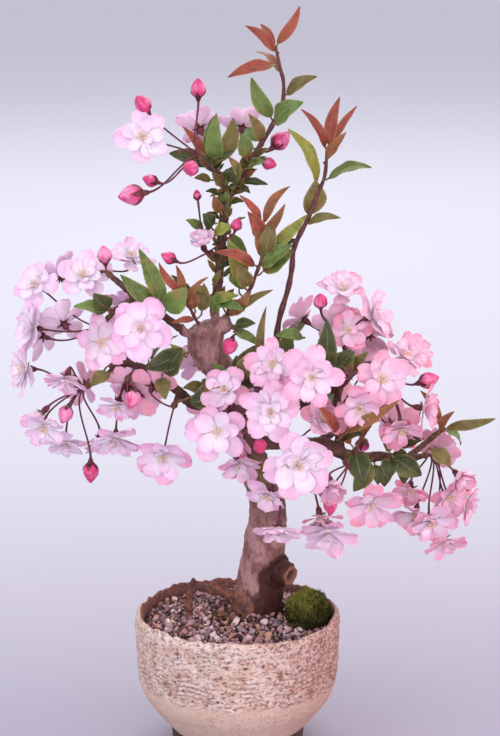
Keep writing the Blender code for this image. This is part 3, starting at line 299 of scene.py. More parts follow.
SHOOTS = {
    "leader_right": [(17, 4, 339, 1.3), (21, 3, 347, 1.2), (24, 2, 355, 1.1), (24, 0, 365, 1.0),
        (22, -1, 373, 0.9), (20, -2, 382, 0.8)],
    "right_upright": [(23, 12, 239, 1.6), (27, 11, 253, 1.5), (29, 10, 264, 1.5), (30, 9, 275, 1.4),
        (33, 8, 283, 1.4), (37, 7, 291, 1.3), (40, 6, 299, 1.2), (43, 5, 307, 1.1), (46, 4, 315, 1.0),
        (47, 2, 328, 0.9)],
    "mid_shoot": [(3, 0, 250, 1.1), (7, -1, 256, 1.1), (10, -3, 264, 1.0), (13, -4, 273, 1.0),
        (13, -5, 282, 0.9), (13, -5, 290, 0.8)],
    "left_shoot": [(-22, -4, 240, 0.9), (-25, -7, 247, 0.9), (-28, -9, 253, 0.8)],
}

SHOOT_LEAVES = {
    "leader_right": [((20, -2, 382), (32, -6, 403), 5, RED), ((20, -2, 381), (12, 5, 394), 4, RED),
        ((21, -1, 379), (5, -8, 393), 5, RED), ((22, -1, 373), (-4, -12, 369), 6.5, RED),
        ((23, 0, 368), (11, 9, 381), 5, BRONZE), ((19, 3, 343), (8, -5, 366), 6.5, GREEN),
        ((24, 2, 356), (40, -6, 368), 6, OLIVE), ((18, 4, 341), (32, -9, 355), 9, GREEN),
        ((13, 6, 332), (7, -3, 347), 5.5, OLIVE), ((13, 6, 332), (4, 14, 340), 6, GREEN)],
    "right_upright": [((47, 2, 328), (34, -8, 351), 5, RED), ((47, 2, 328), (53, -5, 356), 6, RED),
        ((47, 2, 327), (62, 9, 352), 5, RED), ((46, 3, 322), (55, -5, 339), 6, BRONZE),
        ((43, 5, 307), (28, -7, 341), 7.5, YOUNG), ((45, 4, 312), (69, -8, 322), 6.5, GREEN),
        ((37, 7, 291), (42, 16, 312), 9.5, OLIVE), ((36, 7, 289), (53, -3, 295), 5, OLIVE)],
    "mid_shoot": [((13, -5, 283), (24, -11, 302), 5, BRONZE), ((13, -5, 281), (20, 4, 293), 5, RED),
        ((13, -5, 290), (27, -4, 311), 5, BRONZE), ((13, -5, 290), (3, -8, 307), 5, RED),
        ((13, -4, 282), (6, -13, 298), 7, RED), ((11, -3, 268), (-10, -16, 278), 5.5, RED),
        ((11, -3, 267), (27, -14, 282), 9, GREEN), ((7, -1, 256), (0, -10, 270), 7, OLIVE)],
    "left_shoot": [((-28, -9, 253), (-41, -8, 271), 4, RED), ((-28, -9, 253), (-32, -13, 270), 4, RED),
        ((-26, -8, 249), (-17, -15, 265), 4, BRONZE), ((-22, -4, 240), (-34, -13, 241), 4, RED)],
}

# Finer growth that the CAD frame leaves out: flowers behind or between those of SPRAYS, small leaves
# with a start of their own, scale leaves, and the grown-over ends of the trunk and of the root.
EXTRA_FLOWERS = {
    "left_low_mid": [(BLOOM, (-59, -2, 204), (100, 30), 24, 0.75),
        (BLOOM, (-64, -10, 195), (-110, -35), 22, 0.35)],
    "left_low_root": [(BLOOM, (-45, -4, 204), (80, 25), 25, 0.7)],
    "left_low": [(BLOOM, (-74, 4, 172), (-80, -50), 24, 0.3)],
    "trunk_front": [(BLOOM, (1, -18, 178), (-130, -20), 23, 0.75)],
    "right_up_root": [(BLOOM, (22, -22, 207), (-70, -25), 26, 0.8)],
    "right_low_root": [(BLOOM, (44, -24, 137), (-70, -60), 23, 0.7)],
    "right_up": [(BLOOM, (53, -22, 194), (-120, -30), 25, 0.95),
        (BLOOM, (87, -14, 181), (-95, -35), 25, 1.0), (BLOOM, (93, 0, 221), (-60, 40), 25, 0.7),
        (SPENT, (58, -36, 219), (-70, 45), 10, 0.5)],
    "right_up_top": [(BLOOM, (59, 0, 233), (-80, 20), 24, 0.75)],
    "right_low": [(BLOOM, (96, -8, 134), (-110, -45), 28, 0.4),
        (BLOOM, (114, -2, 142), (-70, -10), 25, 0.75)],
}
EXTRA_LEAVES = {
    "leader": [((-17, 3, 285), (-26, -2, 293), 5, GREEN), ((-13, 2, 287), (-17, -3, 296), 8, DARK),
        ((-13, 1, 285), (-3, -5, 290), 6, YOUNG), ((-8, 3, 295), (-12, -1, 305), 5, BRONZE),
        ((-5, 3, 300), (3, -2, 303), 4, DARK), ((3, 2, 257), (-4, -7, 282), 8, YOUNG),
        ((1, 3, 253), (3, -2, 270), 9, GREEN), ((-6, 4, 267), (-1, 0, 273), 3, DARK),
        ((-8, 4, 261), (0, 0, 268), 3.5, DARK), ((-13, 4, 257), (-9, 0, 266), 3, OLIVE)],
    "crown": [((-13, 0, 243), (-10, -5, 253), 7, GREEN), ((-8, 2, 246), (-2, -3, 256), 5, OLIVE),
        ((-5, 0, 240), (7, -6, 255), 6, BRONZE), ((-3, 0, 241), (18, -6, 257), 5.5, OLIVE),
        ((-6, 3, 240), (3, 4, 249), 7, BRONZE), ((-22, -3, 244), (-27, -8, 257), 7, BRONZE),
        ((-19, -2, 242), (-17, -6, 259), 6, OLIVE), ((-24, -3, 248), (-34, -3, 264), 5, DARK),
        ((-2, -2, 236), (9, -8, 239), 5, DARK), ((-2, -3, 233), (12, -10, 228), 4.5, GREEN)],
    "top": [((-15, -2, 324), (-12, -6, 347), 4, GREEN), ((-12, 0, 318), (-3, -5, 330), 4.5, DARK),
        ((-13, 2, 313), (-22, -2, 315), 4, OLIVE), ((-8, 2, 310), (-12, -3, 318), 6, OLIVE),
        ((-5, 1, 311), (0, -4, 322), 6, DARK), ((2, 3, 312), (16, -4, 312), 4, DARK),
        ((1, 3, 310), (7, 0, 307), 3, DARK), ((2, 0, 314), (-3, -5, 326), 5, OLIVE),
        ((4, 0, 319), (14, -5, 324), 7, GREEN), ((5, 0, 324), (3, -6, 338), 7, GREEN),
        ((-8, 3, 305), (-16, -1, 308), 3, DARK), ((-16, -3, 320), (-19, -6, 330), 4, BRONZE)],
    "centre": [((-3, -8, 201), (-25, -14, 198), 14, DARK), ((0, -9, 205), (10, -13, 225), 7, OLIVE),
        ((-1, -8, 205), (0, -11, 221), 8, DARK), ((-20, -12, 202), (-5, -15, 208), 5, BRONZE),
        ((7, 0, 165), (16, -3, 149), 5.5, OLIVE), ((11, -6, 212), (16, -10, 247), 4, OLIVE)],
    "left_low": [((-26, -4, 222), (-48, -12, 215), 9, DARK), ((-66, -6, 212), (-78, -9, 205), 6, OLIVE),
        ((-27, -3, 219), (-35, -6, 227), 4, YOUNG)],
    "right_up": [((52, -8, 212), (61, -14, 224), 9, GREEN), ((60, -8, 212), (68, -12, 224), 5, OLIVE),
        ((36, -4, 230), (21, -10, 233), 5, GREEN)],
    "right_mid": [((54, -24, 181), (82, -44, 206), 6, BRONZE), ((54, -24, 181), (41, -44, 205), 5, RED),
        ((53, -16, 177), (65, -24, 183), 7, DARK), ((72, -14, 167), (62, -20, 150), 8, GREEN),
        ((73, -14, 164), (75, -18, 153), 5, DARK)],
    "right_outer": [((80, -14, 166), (78, -18, 152), 7, DARK), ((82, -14, 168), (98, -18, 158), 9, DARK),
        ((86, -13, 172), (98, -18, 179), 7, DARK), ((89, -12, 166), (89, -16, 153), 6, DARK)],
    "right_tip": [((103, -8, 171), (114, -12, 162), 7, OLIVE), ((108, -2, 178), (115, -6, 190), 4, BRONZE)],
    "mid_shoot": [((15, -4, 272), (35, -10, 297), 6, YOUNG), ((14, -5, 270), (18, -11, 293), 8, OLIVE),
        ((12, -4, 264), (28, -12, 279), 8, GREEN), ((13, -5, 271), (8, -9, 296), 8, BRONZE),
        ((15, -4, 269), (31, -9, 284), 6, DARK)],
}
# Where scale leaves grow: the limb, from and to what share of it, and how many.
SCALE_RUNS = (("leader", 0.3, 1.0, 36), ("leader_left", 0.0, 0.9, 28), ("leader_right", 0.0, 0.9, 28))
STUMP = [(-17, 5, 226, 9.0), (-17, 5, 232.5, 8.8), (-17.3, 4.8, 235.0, 7.2), (-17.6, 4.6, 236.6, 4.6)]
ROOT_TIP = [(-22, 3, 88, 2.1), (-24.5, 1.6, 91.5, 1.7), (-24.9, 1, 95, 0.5)]

PETAL_COUNT = 5
SPRAY_COLLAR = 1.4
LEAF_COLLAR = 1.2
STALK_START = 2.4
STALK_BEND = 0.3
STALK_SCATTER = 0.4
LEAF_START = 1.8
LEAF_SCATTER = 0.3
LEAF_ARCH = 0.09
LEAF_TWIST = 0.5
FRONT_LIGHT = Vector((0.0, -0.8, 0.6))
BACK_LIGHT = Vector((0.0, 0.6, 0.8))
BACK_STARTS = 12.0
BUD_JOINT = -0.65
OPENINGS = {BLOOM: math.radians(15), HALF: math.radians(56)}


# Shape helpers: everything is gathered in millimetres and turned into metres once, in make_piece.

class Surface:
    """Corners, faces, finish numbers and marks of one piece.

    A corner's marks are how far along and across its petal or leaf it lies, whether it is on the
    underside, and a tint from 0 to 1. The materials read them by name. The pot and the wood use the
    same names for marks of their own: roughen_pot and build_wood say which.
    """

    MARKS = ("along", "across", "under", "tint")

    def __init__(self):
        self.corners = []
        self.marks = []
        self.faces = []
        self.count = 0

    def add(self, corners, marks, faces):
        """Adds closed geometry. faces is a list of (index array, finish number)."""
        corners = np.asarray(corners, float).reshape(-1, 3)
        self.corners.append(corners)
        self.marks.append(np.broadcast_to(np.asarray(marks, float), (len(corners), 4)))
        for rows, finish in faces:
            self.faces.append((np.asarray(rows, np.int32) + self.count, finish))
        self.count += len(corners)


def make_piece(name, surface, materials, sharp_angle=50.0):
    """Turns a gathered surface into an object in the scene, in metres."""
    mesh = bpy.data.meshes.new(name)
    corners = np.clip(np.concatenate(surface.corners) * MM, *CAD_BOX)
    mesh.vertices.add(len(corners))
    mesh.vertices.foreach_set("co", corners.ravel())
    loops = np.concatenate([rows.ravel() for rows, _ in surface.faces])
    sizes = np.concatenate([np.full(len(rows), rows.shape[1]) for rows, _ in surface.faces])
    finishes = np.concatenate([np.full(len(rows), finish) for rows, finish in surface.faces])
    mesh.loops.add(len(loops))
    mesh.loops.foreach_set("vertex_index", loops.astype(np.int32))
    mesh.polygons.add(len(sizes))
    starts = np.concatenate(([0], np.cumsum(sizes)[:-1])).astype(np.int32)
    mesh.polygons.foreach_set("loop_start", starts)
    mesh.polygons.foreach_set("material_index", finishes.astype(np.int32))
    mesh.update(calc_edges=True)
    marks = np.concatenate(surface.marks)
    set_marks(mesh, **dict(zip(Surface.MARKS, marks.T)))
    for material in materials:
        mesh.materials.append(material)
    return add_object(name, mesh, sharp_angle)


def set_marks(mesh, **marks):
    """Puts named numbers on a mesh's corners, for its material to read."""
    for mark, values in marks.items():
        layer = mesh.attributes.get(mark) or mesh.attributes.new(mark, "FLOAT", "POINT")
        layer.data.foreach_set("value", values.astype(np.float32))


def add_object(name, mesh, sharp_angle):
    """Links a mesh with its faces turned outward and smooth up to an angle."""
    work = bmesh.new()
    work.from_mesh(mesh)
    bmesh.ops.recalc_face_normals(work, faces=work.faces)
    work.to_mesh(mesh)
    work.free()
    mesh.shade_smooth()
    mesh.set_sharp_from_angle(angle=math.radians(sharp_angle))
    made = bpy.data.objects.new(name, mesh)
    bpy.context.scene.collection.objects.link(made)
    return made


def seat_piece(piece, slot, *nodes):
    """Fixes a finished piece to the frame in place of the CAD nodes that it stands for."""
    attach(piece, "root")
    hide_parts(*nodes)


def within(value):
    """A number kept between 0 and 1."""
    return min(1.0, max(0.0, value))


def places_along(centre, way, steps):
    """An array of places, some steps along a way from a centre."""
    return np.array([tuple(centre + way * step) for step in steps])


def unit(vectors):
    return vectors / np.linalg.norm(vectors, axis=-1, keepdims=True)


def square_to(direction, wish=Vector((0.0, 0.0, 1.0))):
    """A unit vector square to a direction, as near to the wished one as can be."""
    if abs(direction.dot(wish)) > 0.95:
        wish = Vector((1.0, 0.0, 0.0))
    return (wish - direction * direction.dot(wish)).normalized()


def scatter(dice, most):
    """A small step in any direction."""
    return Vector((dice.uniform(-most, most), dice.uniform(-most, most), dice.uniform(-most, most)))


def two_dice(first, number):
    """The dice for a part's own places and turns, and those for its finer shapes."""
    return random.Random(SEED + first + number), random.Random(SEED + first * 10 + number)


def facing_vector(azimuth, height):
    turn = math.radians(azimuth)
    rise = math.radians(height)
    level = math.cos(rise)
    return Vector((math.cos(turn) * level, math.sin(turn) * level, math.sin(rise)))


def seat(name):
    """Where a spray, rosette or shoot starts, just clear of its wood, and the way it leaves."""
    inner, tip = SPURS[name] if name in SPURS else LIMBS[name][-2:]
    inner, tip = Vector(inner[:3]), Vector(tip[:3])
    way = (tip - inner).normalized()
    return tip + way * CLEAR, way


def side_seat(wood, step, wish):
    """A place just clear of a limb's side, a share of the way along it, and the way out."""
    points = TRUNK if wood == "trunk" else LIMBS[wood]
    low, high = points[int(step)], points[int(step) + 1]
    share = step - int(step)
    middle = Vector(low[:3]).lerp(Vector(high[:3]), share)
    radius = (low[3] + (high[3] - low[3]) * share) * (TRUNK_BUMP if wood == "trunk" else 1.0)
    way = square_to((Vector(high[:3]) - Vector(low[:3])).normalized(), Vector(wish).normalized())
    return middle + way * (radius + CLEAR), way


def bend(start, first, second, end, steps):
    """Points along a smooth bend between two places, as an array."""
    share = np.linspace(0.0, 1.0, steps + 1)[:, None]
    rest = 1.0 - share
    places = (np.array(start), np.array(first), np.array(second), np.array(end))
    return (places[0] * rest ** 3 + places[1] * 3 * rest ** 2 * share
            + places[2] * 3 * rest * share ** 2 + places[3] * share ** 3)


def spline(points, steps):
    """A smooth run through points of any width, with some steps between each two."""
    points = np.asarray(points, float)
    padded = np.vstack((2 * points[0] - points[1], points, 2 * points[-1] - points[-2]))
    found = []
    for i in range(1, len(padded) - 2):
        a, b, c, d = padded[i - 1:i + 3]
        for step in range(steps):
            t = step / steps
            found.append(0.5 * (2 * b + (c - a) * t + (2 * a - 5 * b + 4 * c - d) * t * t
                                + (3 * b - a - 3 * c + d) * t ** 3))
    found.append(points[-1])
    return np.array(found)


def tube_rings(path, radii, sides, relief=None):
    """Rings of corners round a path, carried without twist. relief scales each ring's corners."""
    path = np.asarray(path, float)
    ways = unit(np.gradient(path, axis=0))
    across = square_to(Vector(ways[0]))
    turns = np.linspace(0.0, math.tau, sides, endpoint=False)
    rings = np.empty((len(path), sides, 3))
    for i, way in enumerate(ways):
        way = Vector(way)
        if i:
            turned = Vector(ways[i - 1]).rotation_difference(way) @ across
            across = square_to(way, turned)
        aside = way.cross(across)
        out = np.outer(np.cos(turns), across) + np.outer(np.sin(turns), aside)
        rings[i] = path[i] + out * radii[i]
    if relief is not None:
        rings = path[:, None, :] + (rings - path[:, None, :]) * relief[:, :, None]
    return rings


def tube_faces(count, sides):
    """Walls and two caps for rings of corners that are followed by the middles of both ends."""
    numbers = np.arange(count * sides).reshape(count, sides)
    after = np.roll(numbers, -1, axis=1)
    walls = np.stack((numbers[:-1], after[:-1], after[1:], numbers[1:]), axis=-1)
    low = np.stack((after[0], numbers[0], np.full(sides, count * sides)), axis=-1)
    high = np.stack((numbers[-1], after[-1], np.full(sides, count * sides + 1)), axis=-1)
    return walls, low, high


def add_tube(surface, path, radii, sides, finish=0, tint=0.5, relief=None):
    """A closed round stem along a path."""
    rings = tube_rings(path, radii, sides, relief)
    count = len(rings)
    walls, low, high = tube_faces(count, sides)
    corners = np.concatenate((rings.reshape(-1, 3), np.asarray(path)[[0, -1]]))
    marks = np.zeros((len(corners), 4))
    marks[:-2, 0] = np.repeat(np.linspace(0.0, 1.0, count), sides)
    marks[-1, 0] = 1.0
    marks[:-2, 1] = np.tile(np.linspace(0.0, 1.0, sides), count)
    marks[:, 3] = tint
    surface.add(corners, marks, [(walls.reshape(-1, 4), finish), (np.concatenate((low, high)), finish)])


def add_sheet(surface, grid, upward, thick, finish, tint, along=None):
    """A thin closed sheet: a grid of corners, and a second one under it that meets it at the edge."""
    rows, columns = grid.shape[:2]
    normals = unit(np.cross(np.gradient(grid, axis=0), np.gradient(grid, axis=1)) + 1e-12)
    if (normals * upward).sum(axis=-1).mean() < 0:
        normals = -normals
    top = np.arange(rows * columns).reshape(rows, columns)
    under = top.copy()
    inner = (rows - 2) * (columns - 2)
    under[1:-1, 1:-1] = rows * columns + np.arange(inner).reshape(rows - 2, columns - 2)
    lower = (grid - normals * thick)[1:-1, 1:-1]
    corners = np.concatenate((grid.reshape(-1, 3), lower.reshape(-1, 3)))
    along = np.linspace(0.0, 1.0, rows) if along is None else along
    along, across = np.meshgrid(along, np.linspace(-1.0, 1.0, columns), indexing="ij")
    marks = np.zeros((len(corners), 4))
    marks[:, 0] = np.concatenate((along.ravel(), along[1:-1, 1:-1].ravel()))
    marks[:, 1] = np.concatenate((across.ravel(), across[1:-1, 1:-1].ravel()))
    marks[rows * columns:, 2] = 1.0
    marks[:, 3] = tint
    faces = []
    for sheet, order in ((top, (0, 1, 2, 3)), (under, (3, 2, 1, 0))):
        around = (sheet[:-1, :-1], sheet[:-1, 1:], sheet[1:, 1:], sheet[1:, :-1])
        faces.append((np.stack([around[i] for i in order], axis=-1).reshape(-1, 4), finish))
    surface.add(corners, marks, faces)


def add_grain(surface, centre, size, finish=0, tint=0.5, stretch=None):
    """A small closed grain with twenty faces."""
    corners = GRAIN_CORNERS * size
    if stretch is not None:
        way, factor = stretch
        corners = corners + np.outer(corners @ way, way) * (factor - 1.0)
    marks = np.zeros((len(corners), 4))
    marks[:, 3] = tint
    surface.add(corners + np.asarray(centre), marks, [(GRAIN_FACES, finish)])


def ball(divisions):
    """Corners and faces of a round ball of triangles, one unit in radius."""
    work = bmesh.new()
    bmesh.ops.create_icosphere(work, subdivisions=divisions, radius=1.0)
    corners = np.array([corner.co for corner in work.verts])
    faces = np.array([[corner.index for corner in face.verts] for face in work.faces], np.int32)
    work.free()
    return corners, faces


GRAIN_CORNERS, GRAIN_FACES = ball(1)
STONE_CORNERS, STONE_FACES = ball(2)


# Materials.

class Value:
    """A number, place or colour in a material. Arithmetic on it adds nodes."""

    def __init__(self, paint, socket):
        self.paint = paint
        self.socket = socket

    def __add__(self, other):
        return self.paint.sum("ADD", self, other)

    def __sub__(self, other):
        return self.paint.sum("SUBTRACT", self, other)

    def __rsub__(self, other):
        return self.paint.sum("SUBTRACT", other, self)

    def __mul__(self, other):
        return self.paint.sum("MULTIPLY", self, other)

    def __pow__(self, other):
        return self.paint.sum("POWER", self, other)

    def __abs__(self):
        return self.paint.sum("ABSOLUTE", self)


class Finish:
    """A procedural material that is put together node by node round one surface shader."""

    def __init__(self, name, roughness, **sockets):
        self.material = bpy.data.materials.new(name)
        self.material.use_nodes = True
        self.tree = self.material.node_tree
        self.shader = self.tree.nodes["Principled BSDF"]
        self.shader.inputs["Roughness"].default_value = roughness
        for socket, value in sockets.items():
            self.shader.inputs[socket.replace("_", " ")].default_value = value
        self.place = self.node("TexCoord", "Object")

    def put(self, socket, value):
        """Joins a node's output to a socket, or sets the socket to a plain value."""
        if isinstance(value, Value):
            self.tree.links.new(value.socket, socket)
        elif socket.type == "RGBA":
            socket.default_value = (*value, 1.0)
        else:
            socket.default_value = value

    def node(self, kind, output, choices=(), **inputs):
        """Adds a node, joins or sets its inputs, and gives one of its outputs."""
        node = self.tree.nodes.new("ShaderNode" + kind)
        for name, value in choices:
            setattr(node, name, value)
        for name, value in inputs.items():
            self.put(node.inputs[name.replace("_", " ")], value)
        return Value(self, node.outputs[output])

    def mark(self, name):
        return self.node("Attribute", "Fac", [("attribute_name", name)])

    def stretched(self, stretch):
        """The coordinates, scaled along each axis."""
        return self.node("Mapping", "Vector", Vector=self.place, Scale=stretch)

    def joined(self, x, y, z):
        return self.node("CombineXYZ", "Vector", X=x, Y=y, Z=z)

    def position(self, axis):
        """Where a point lies on the tree along one axis, in metres."""
        return self.node("SeparateXYZ", axis, Vector=self.place)

    def cloud(self, scale, detail=3.0, rough=0.5, place=None):
        """Soft noise from about 0.2 to 0.8."""
        return self.node("TexNoise", "Fac", Vector=place or self.place, Scale=scale, Detail=detail,
                         Roughness=rough)

    def cells(self, scale):
        return self.node("TexVoronoi", "Distance", Vector=self.place, Scale=scale)

    def ramp(self, value, *stops):
        """A value turned into another one, from stops of (from, to)."""
        node = self.tree.nodes.new("ShaderNodeValToRGB")
        self.put(node.inputs["Fac"], value)
        for element, (position, level) in zip(node.color_ramp.elements, stops):
            element.position = position
            element.color = (level, level, level, 1.0)
        return Value(self, node.outputs["Color"])

    def span(self, value, low, high):
        """0 up to the low value, 1 from the high one, smooth between."""
        return self.node("MapRange", "Result", [("interpolation_type", "SMOOTHSTEP")], Value=value,
                         From_Min=low, From_Max=high)

    def blend(self, share, first, second):
        node = self.tree.nodes.new("ShaderNodeMix")
        node.data_type = "RGBA"
        self.put(node.inputs["Factor"], share)
        self.put(node.inputs[6], first)
        self.put(node.inputs[7], second)
        return Value(self, node.outputs[2])

    def sum(self, operation, first, second=0.0):
        node = self.tree.nodes.new("ShaderNodeMath")
        node.operation = operation
        self.put(node.inputs[0], first)
        self.put(node.inputs[1], second)
        return Value(self, node.outputs["Value"])

    def sway(self, value, most):
        """Noise brought round zero."""
        return (value - 0.5) * most

    def finish(self, colour, bumps=(), roughness=None):
        """Wires the colour, the relief as (height, distance in metres) and a varying roughness."""
        self.put(self.shader.inputs["Base Color"], colour)
        if roughness is not None:
            self.put(self.shader.inputs["Roughness"], roughness)
        below = {}
        for height, distance in bumps:
            normal = self.node("Bump", "Normal", Height=height, Strength=1.0, Distance=distance, **below)
            below = {"Normal": normal}
            self.put(self.shader.inputs["Normal"], normal)
        return self.material


def petal_finish(settings):
    """Petals: nearly white in the middle, pinker to the edge and behind, with fine veins.

    Towards the left of the tree they are a cool lilac pink and towards the right a warmer, deeper coral
    pink: painted light, for the cool key light on the left and the warm shade on the right.
    """
    paint = Finish("pink_petals", 0.6, Subsurface_Weight=0.8, Subsurface_Scale=0.00024,
                   Specular_IOR_Level=0.1)
    paint.shader.inputs["Subsurface Radius"].default_value = (1.0, 1.0, 1.0)
    along, across, tint = paint.mark("along"), paint.mark("across"), paint.mark("tint")
    streaks = paint.cloud(1.0, 2.0, 0.6, paint.joined(across * 9.0, along * 1.3, tint * 37.0))
    cloudy = paint.cloud(150.0, 2.0)
    edge = along ** 1.8 * 0.75
    out = abs(across) ** 3.0
    edge = edge + out * along * 0.35
    edge = edge + paint.sway(streaks, 0.9)
    edge = edge + paint.sway(cloudy, 0.7)
    edge = edge + tint * 0.75
    # The shift with the tree's left and right is painted light: cool lilac where the key light falls, deeper
    # coral for the warm shade on the right. The shift for deep tints is the flowers' own colour.
    warm = paint.span(paint.position(0), -0.05, 0.1) + paint.sway(cloudy, 0.5)
    warm = paint.sum("MINIMUM", warm + paint.span(tint, 0.7, 1.0), 1.0)
    shades = []
    for low, high in (("pale", "pale_warm"), ("pink", "pink_warm"), ("deep", "deep_warm")):
        shades.append(paint.blend(warm, getattr(settings, low), getattr(settings, high)))
    front = paint.blend(paint.span(edge, 0.25, 0.95), shades[0], shades[1])
    front = paint.blend(paint.span(edge, 0.8, 1.55), front, shades[2])
    under = paint.blend(0.4, shades[1], shades[0])
    under = paint.blend(paint.span(tint, 0.2, 1.6), under, shades[2])
    colour = paint.blend(paint.mark("under") * 0.85, front, under)
    return paint.finish(colour, [(streaks, 0.00025)])


def bud_finish(name, tip, side, seam):
    """Closed buds: crimson pink with darker seams between the wrapped petals."""
    paint = Finish(name, 0.4, Subsurface_Weight=0.15, Subsurface_Scale=0.002, Specular_IOR_Level=0.4)
    tint = paint.mark("tint")
    streaks = paint.cloud(1.0, 2.0, 0.6,
                          paint.joined(paint.mark("across") * 26.0, paint.mark("along") * 2.0,
                                       tint * 31.0))
    share = tint + paint.sway(streaks, 1.0)
    share = share + paint.sway(paint.cloud(170.0, 2.0), 1.6)
    ends = abs(paint.mark("along") - 0.55) ** 2.0
    share = share + ends * 2.2
    colour = paint.blend(paint.span(share, 0.4, 1.15), side, tip)
    colour = paint.blend(paint.span(paint.mark("under"), 0.2, 1.0), colour, seam)
    return paint.finish(colour, [(streaks, 0.0001)])


def stalk_finish(name, dark, light):
    """Smooth maroon stalks, calyxes and sepals."""
    paint = Finish(name, 0.42, Specular_IOR_Level=0.4)
    patches = paint.cloud(420.0, 3.0)
    colour = paint.blend(paint.span(patches, 0.35, 0.7), dark, light)
    return paint.finish(colour, [(paint.cloud(1600.0, 2.0), 0.00005)])


def stamen_finish(name, colour, deeper):
    paint = Finish(name, 0.6)
    mottled = paint.blend(paint.cloud(900.0, 2.0), colour, deeper)
    return paint.finish(mottled, [(paint.cloud(4000.0), 0.00005)])


def leaf_finish(name, upper, darker, turned, rib, below):
    """Leaf blades with a pale rib, side veins, blotches and a paler underside."""
    paint = Finish(name, 0.42, Specular_IOR_Level=0.35, Subsurface_Weight=0.08, Subsurface_Scale=0.002)
    along = paint.mark("along")
    out = abs(paint.mark("across"))
    wave = along * 52.0 - out * 13.0
    veins = paint.span(paint.sum("SINE", wave), 0.8, 1.0)
    ribs = 1.0 - paint.span(out, 0.02, 0.13)
    lines = paint.sum("MAXIMUM", veins * 0.4, ribs)
    blotches = paint.cloud(260.0, 3.0, 0.6) + paint.mark("tint") * 0.25
    blade = paint.blend(paint.span(blotches, 0.35, 0.85), darker, upper)
    blade = paint.blend(paint.span(paint.cloud(90.0, 2.0), 0.5, 0.75), blade, turned)
    blade = paint.blend(paint.span(out, 0.75, 1.0) * 0.5, blade, rib)
    blade = paint.blend(lines * 0.55, blade, rib)
    colour = paint.blend(paint.mark("under") * 0.8, blade, below)
    lumps = paint.cloud(1200.0, 3.0, 0.6)
    return paint.finish(colour, [(lines * -1.0, 0.00025), (lumps, 0.0001)])


def bark_finish(name, settings):
    """Grey mauve bark with smooth paler patches, dark cracks, red brown soil stains low down, and painted
    shade low on the right of the trunk and on the cut knob.
    """
    paint = Finish(name, 0.62, Specular_IOR_Level=0.2)
    fine = paint.cloud(900.0, 4.0, 0.65)
    broad = paint.cloud(95.0, 3.0, 0.55)
    grain = paint.cloud(300.0, 4.0, 0.65, paint.stretched((1.0, 1.0, 0.35)))
    bands = paint.cloud(330.0, 3.0, 0.6, paint.stretched((0.35, 0.35, 1.6)))
    patches = paint.span(broad + grain * 0.25, 0.52, 0.72)
    height = paint.position(2)
    middle = paint.span(height, 0.118, 0.135) - paint.span(height, 0.19, 0.21)
    patches = patches * (1.0 - middle * 0.7)
    colour = paint.blend(patches, settings.bark, settings.bark_patch)
    lichen = paint.span(paint.cloud(170.0, 3.0, 0.6), 0.5, 0.68) * paint.span(height, 0.11, 0.14)
    thin = paint.blend(lichen, settings.twig, settings.lichen)
    colour = paint.blend(paint.mark("tint"), thin, colour)
    cracks = 1.0 - paint.span(grain, 0.3, 0.46)
    colour = paint.blend(cracks * 0.75, colour, settings.bark_crack)
    colour = paint.blend(paint.span(bands, 0.62, 0.75) * 0.35, colour, settings.bark_patch)
    colour = paint.blend(paint.span(fine, 0.3, 0.8) * 0.35, colour, settings.bark_crack)
    low = height + paint.sway(broad, 0.03)
    stain = 1.0 - paint.span(low, 0.084, 0.092)
    soil = paint.blend(paint.span(paint.cloud(210.0, 4.0, 0.65), 0.4, 0.6), settings.bark_crack,
                       settings.root_stain)
    colour = paint.blend(stain * 0.85, colour, soil)
    colour = paint.blend(paint.mark("along"), colour, settings.root_stain)
    # Painted shade: darkens the low right side of the trunk and the cut knob's hollow and neck.
    colour = paint.blend(paint.mark("under"), colour, settings.painted_shade)
    return paint.finish(colour, [(grain, 0.0007), (bands, 0.0003), (fine, 0.0003)],
                        paint.ramp(fine, (0.2, 0.5), (0.8, 0.8)))


def stone_finish(name, light, dark, fleck):
    """One kind of stone in the grit."""
    paint = Finish(name, 0.78, Specular_IOR_Level=0.3)
    tint = paint.mark("tint")
    speckle = paint.cloud(1500.0, 4.0, 0.7)
    broad = paint.cloud(240.0, 2.0) + tint * 0.6
    colour = paint.blend(paint.span(broad, 0.4, 1.0), dark, light)
    colour = paint.blend(paint.span(speckle, 0.58, 0.7), colour, fleck)
    return paint.finish(colour, [(speckle, 0.0004), (paint.cloud(500.0, 3.0), 0.0005)])


def bed_finish(settings):
    """Fine dark crumbs between and under the stones, with painted shade in the gaps between the crumbs."""
    paint = Finish("grit_bed", 0.9)
    crumbs = paint.cells(700.0)
    speckle = paint.cloud(900.0, 4.0, 0.7)
    colour = paint.blend(paint.span(speckle, 0.35, 0.7), settings.bed, settings.bed_light)
    # Painted shade: the gaps between the crumbs are made nearly black.
    colour = paint.blend(paint.span(crumbs, 0.25, 0.7), colour, GRIT_GAP_SHADE)
    return paint.finish(colour, [(crumbs * -1.0, 0.0012), (speckle, 0.0006)])


def moss_finish(name, light, dark):
    paint = Finish(name, 0.85, Specular_IOR_Level=0.2)
    share = paint.cloud(230.0, 3.0, 0.6) + paint.mark("tint") * 0.35
    shady = paint.span(paint.position(0), 0.036,
                       0.054) + (1.0 - paint.span(paint.position(2), 0.074, 0.084))
    share = share - shady * 0.3
    colour = paint.blend(paint.span(share, 0.4, 0.9), dark, light)
    tips = paint.span(paint.mark("along"), 0.3, 1.0) * paint.span(share, 0.25, 0.8)
    colour = paint.blend(tips * 0.7, colour, light)
    return paint.finish(colour, [(paint.cloud(1500.0, 3.0), 0.0003)])


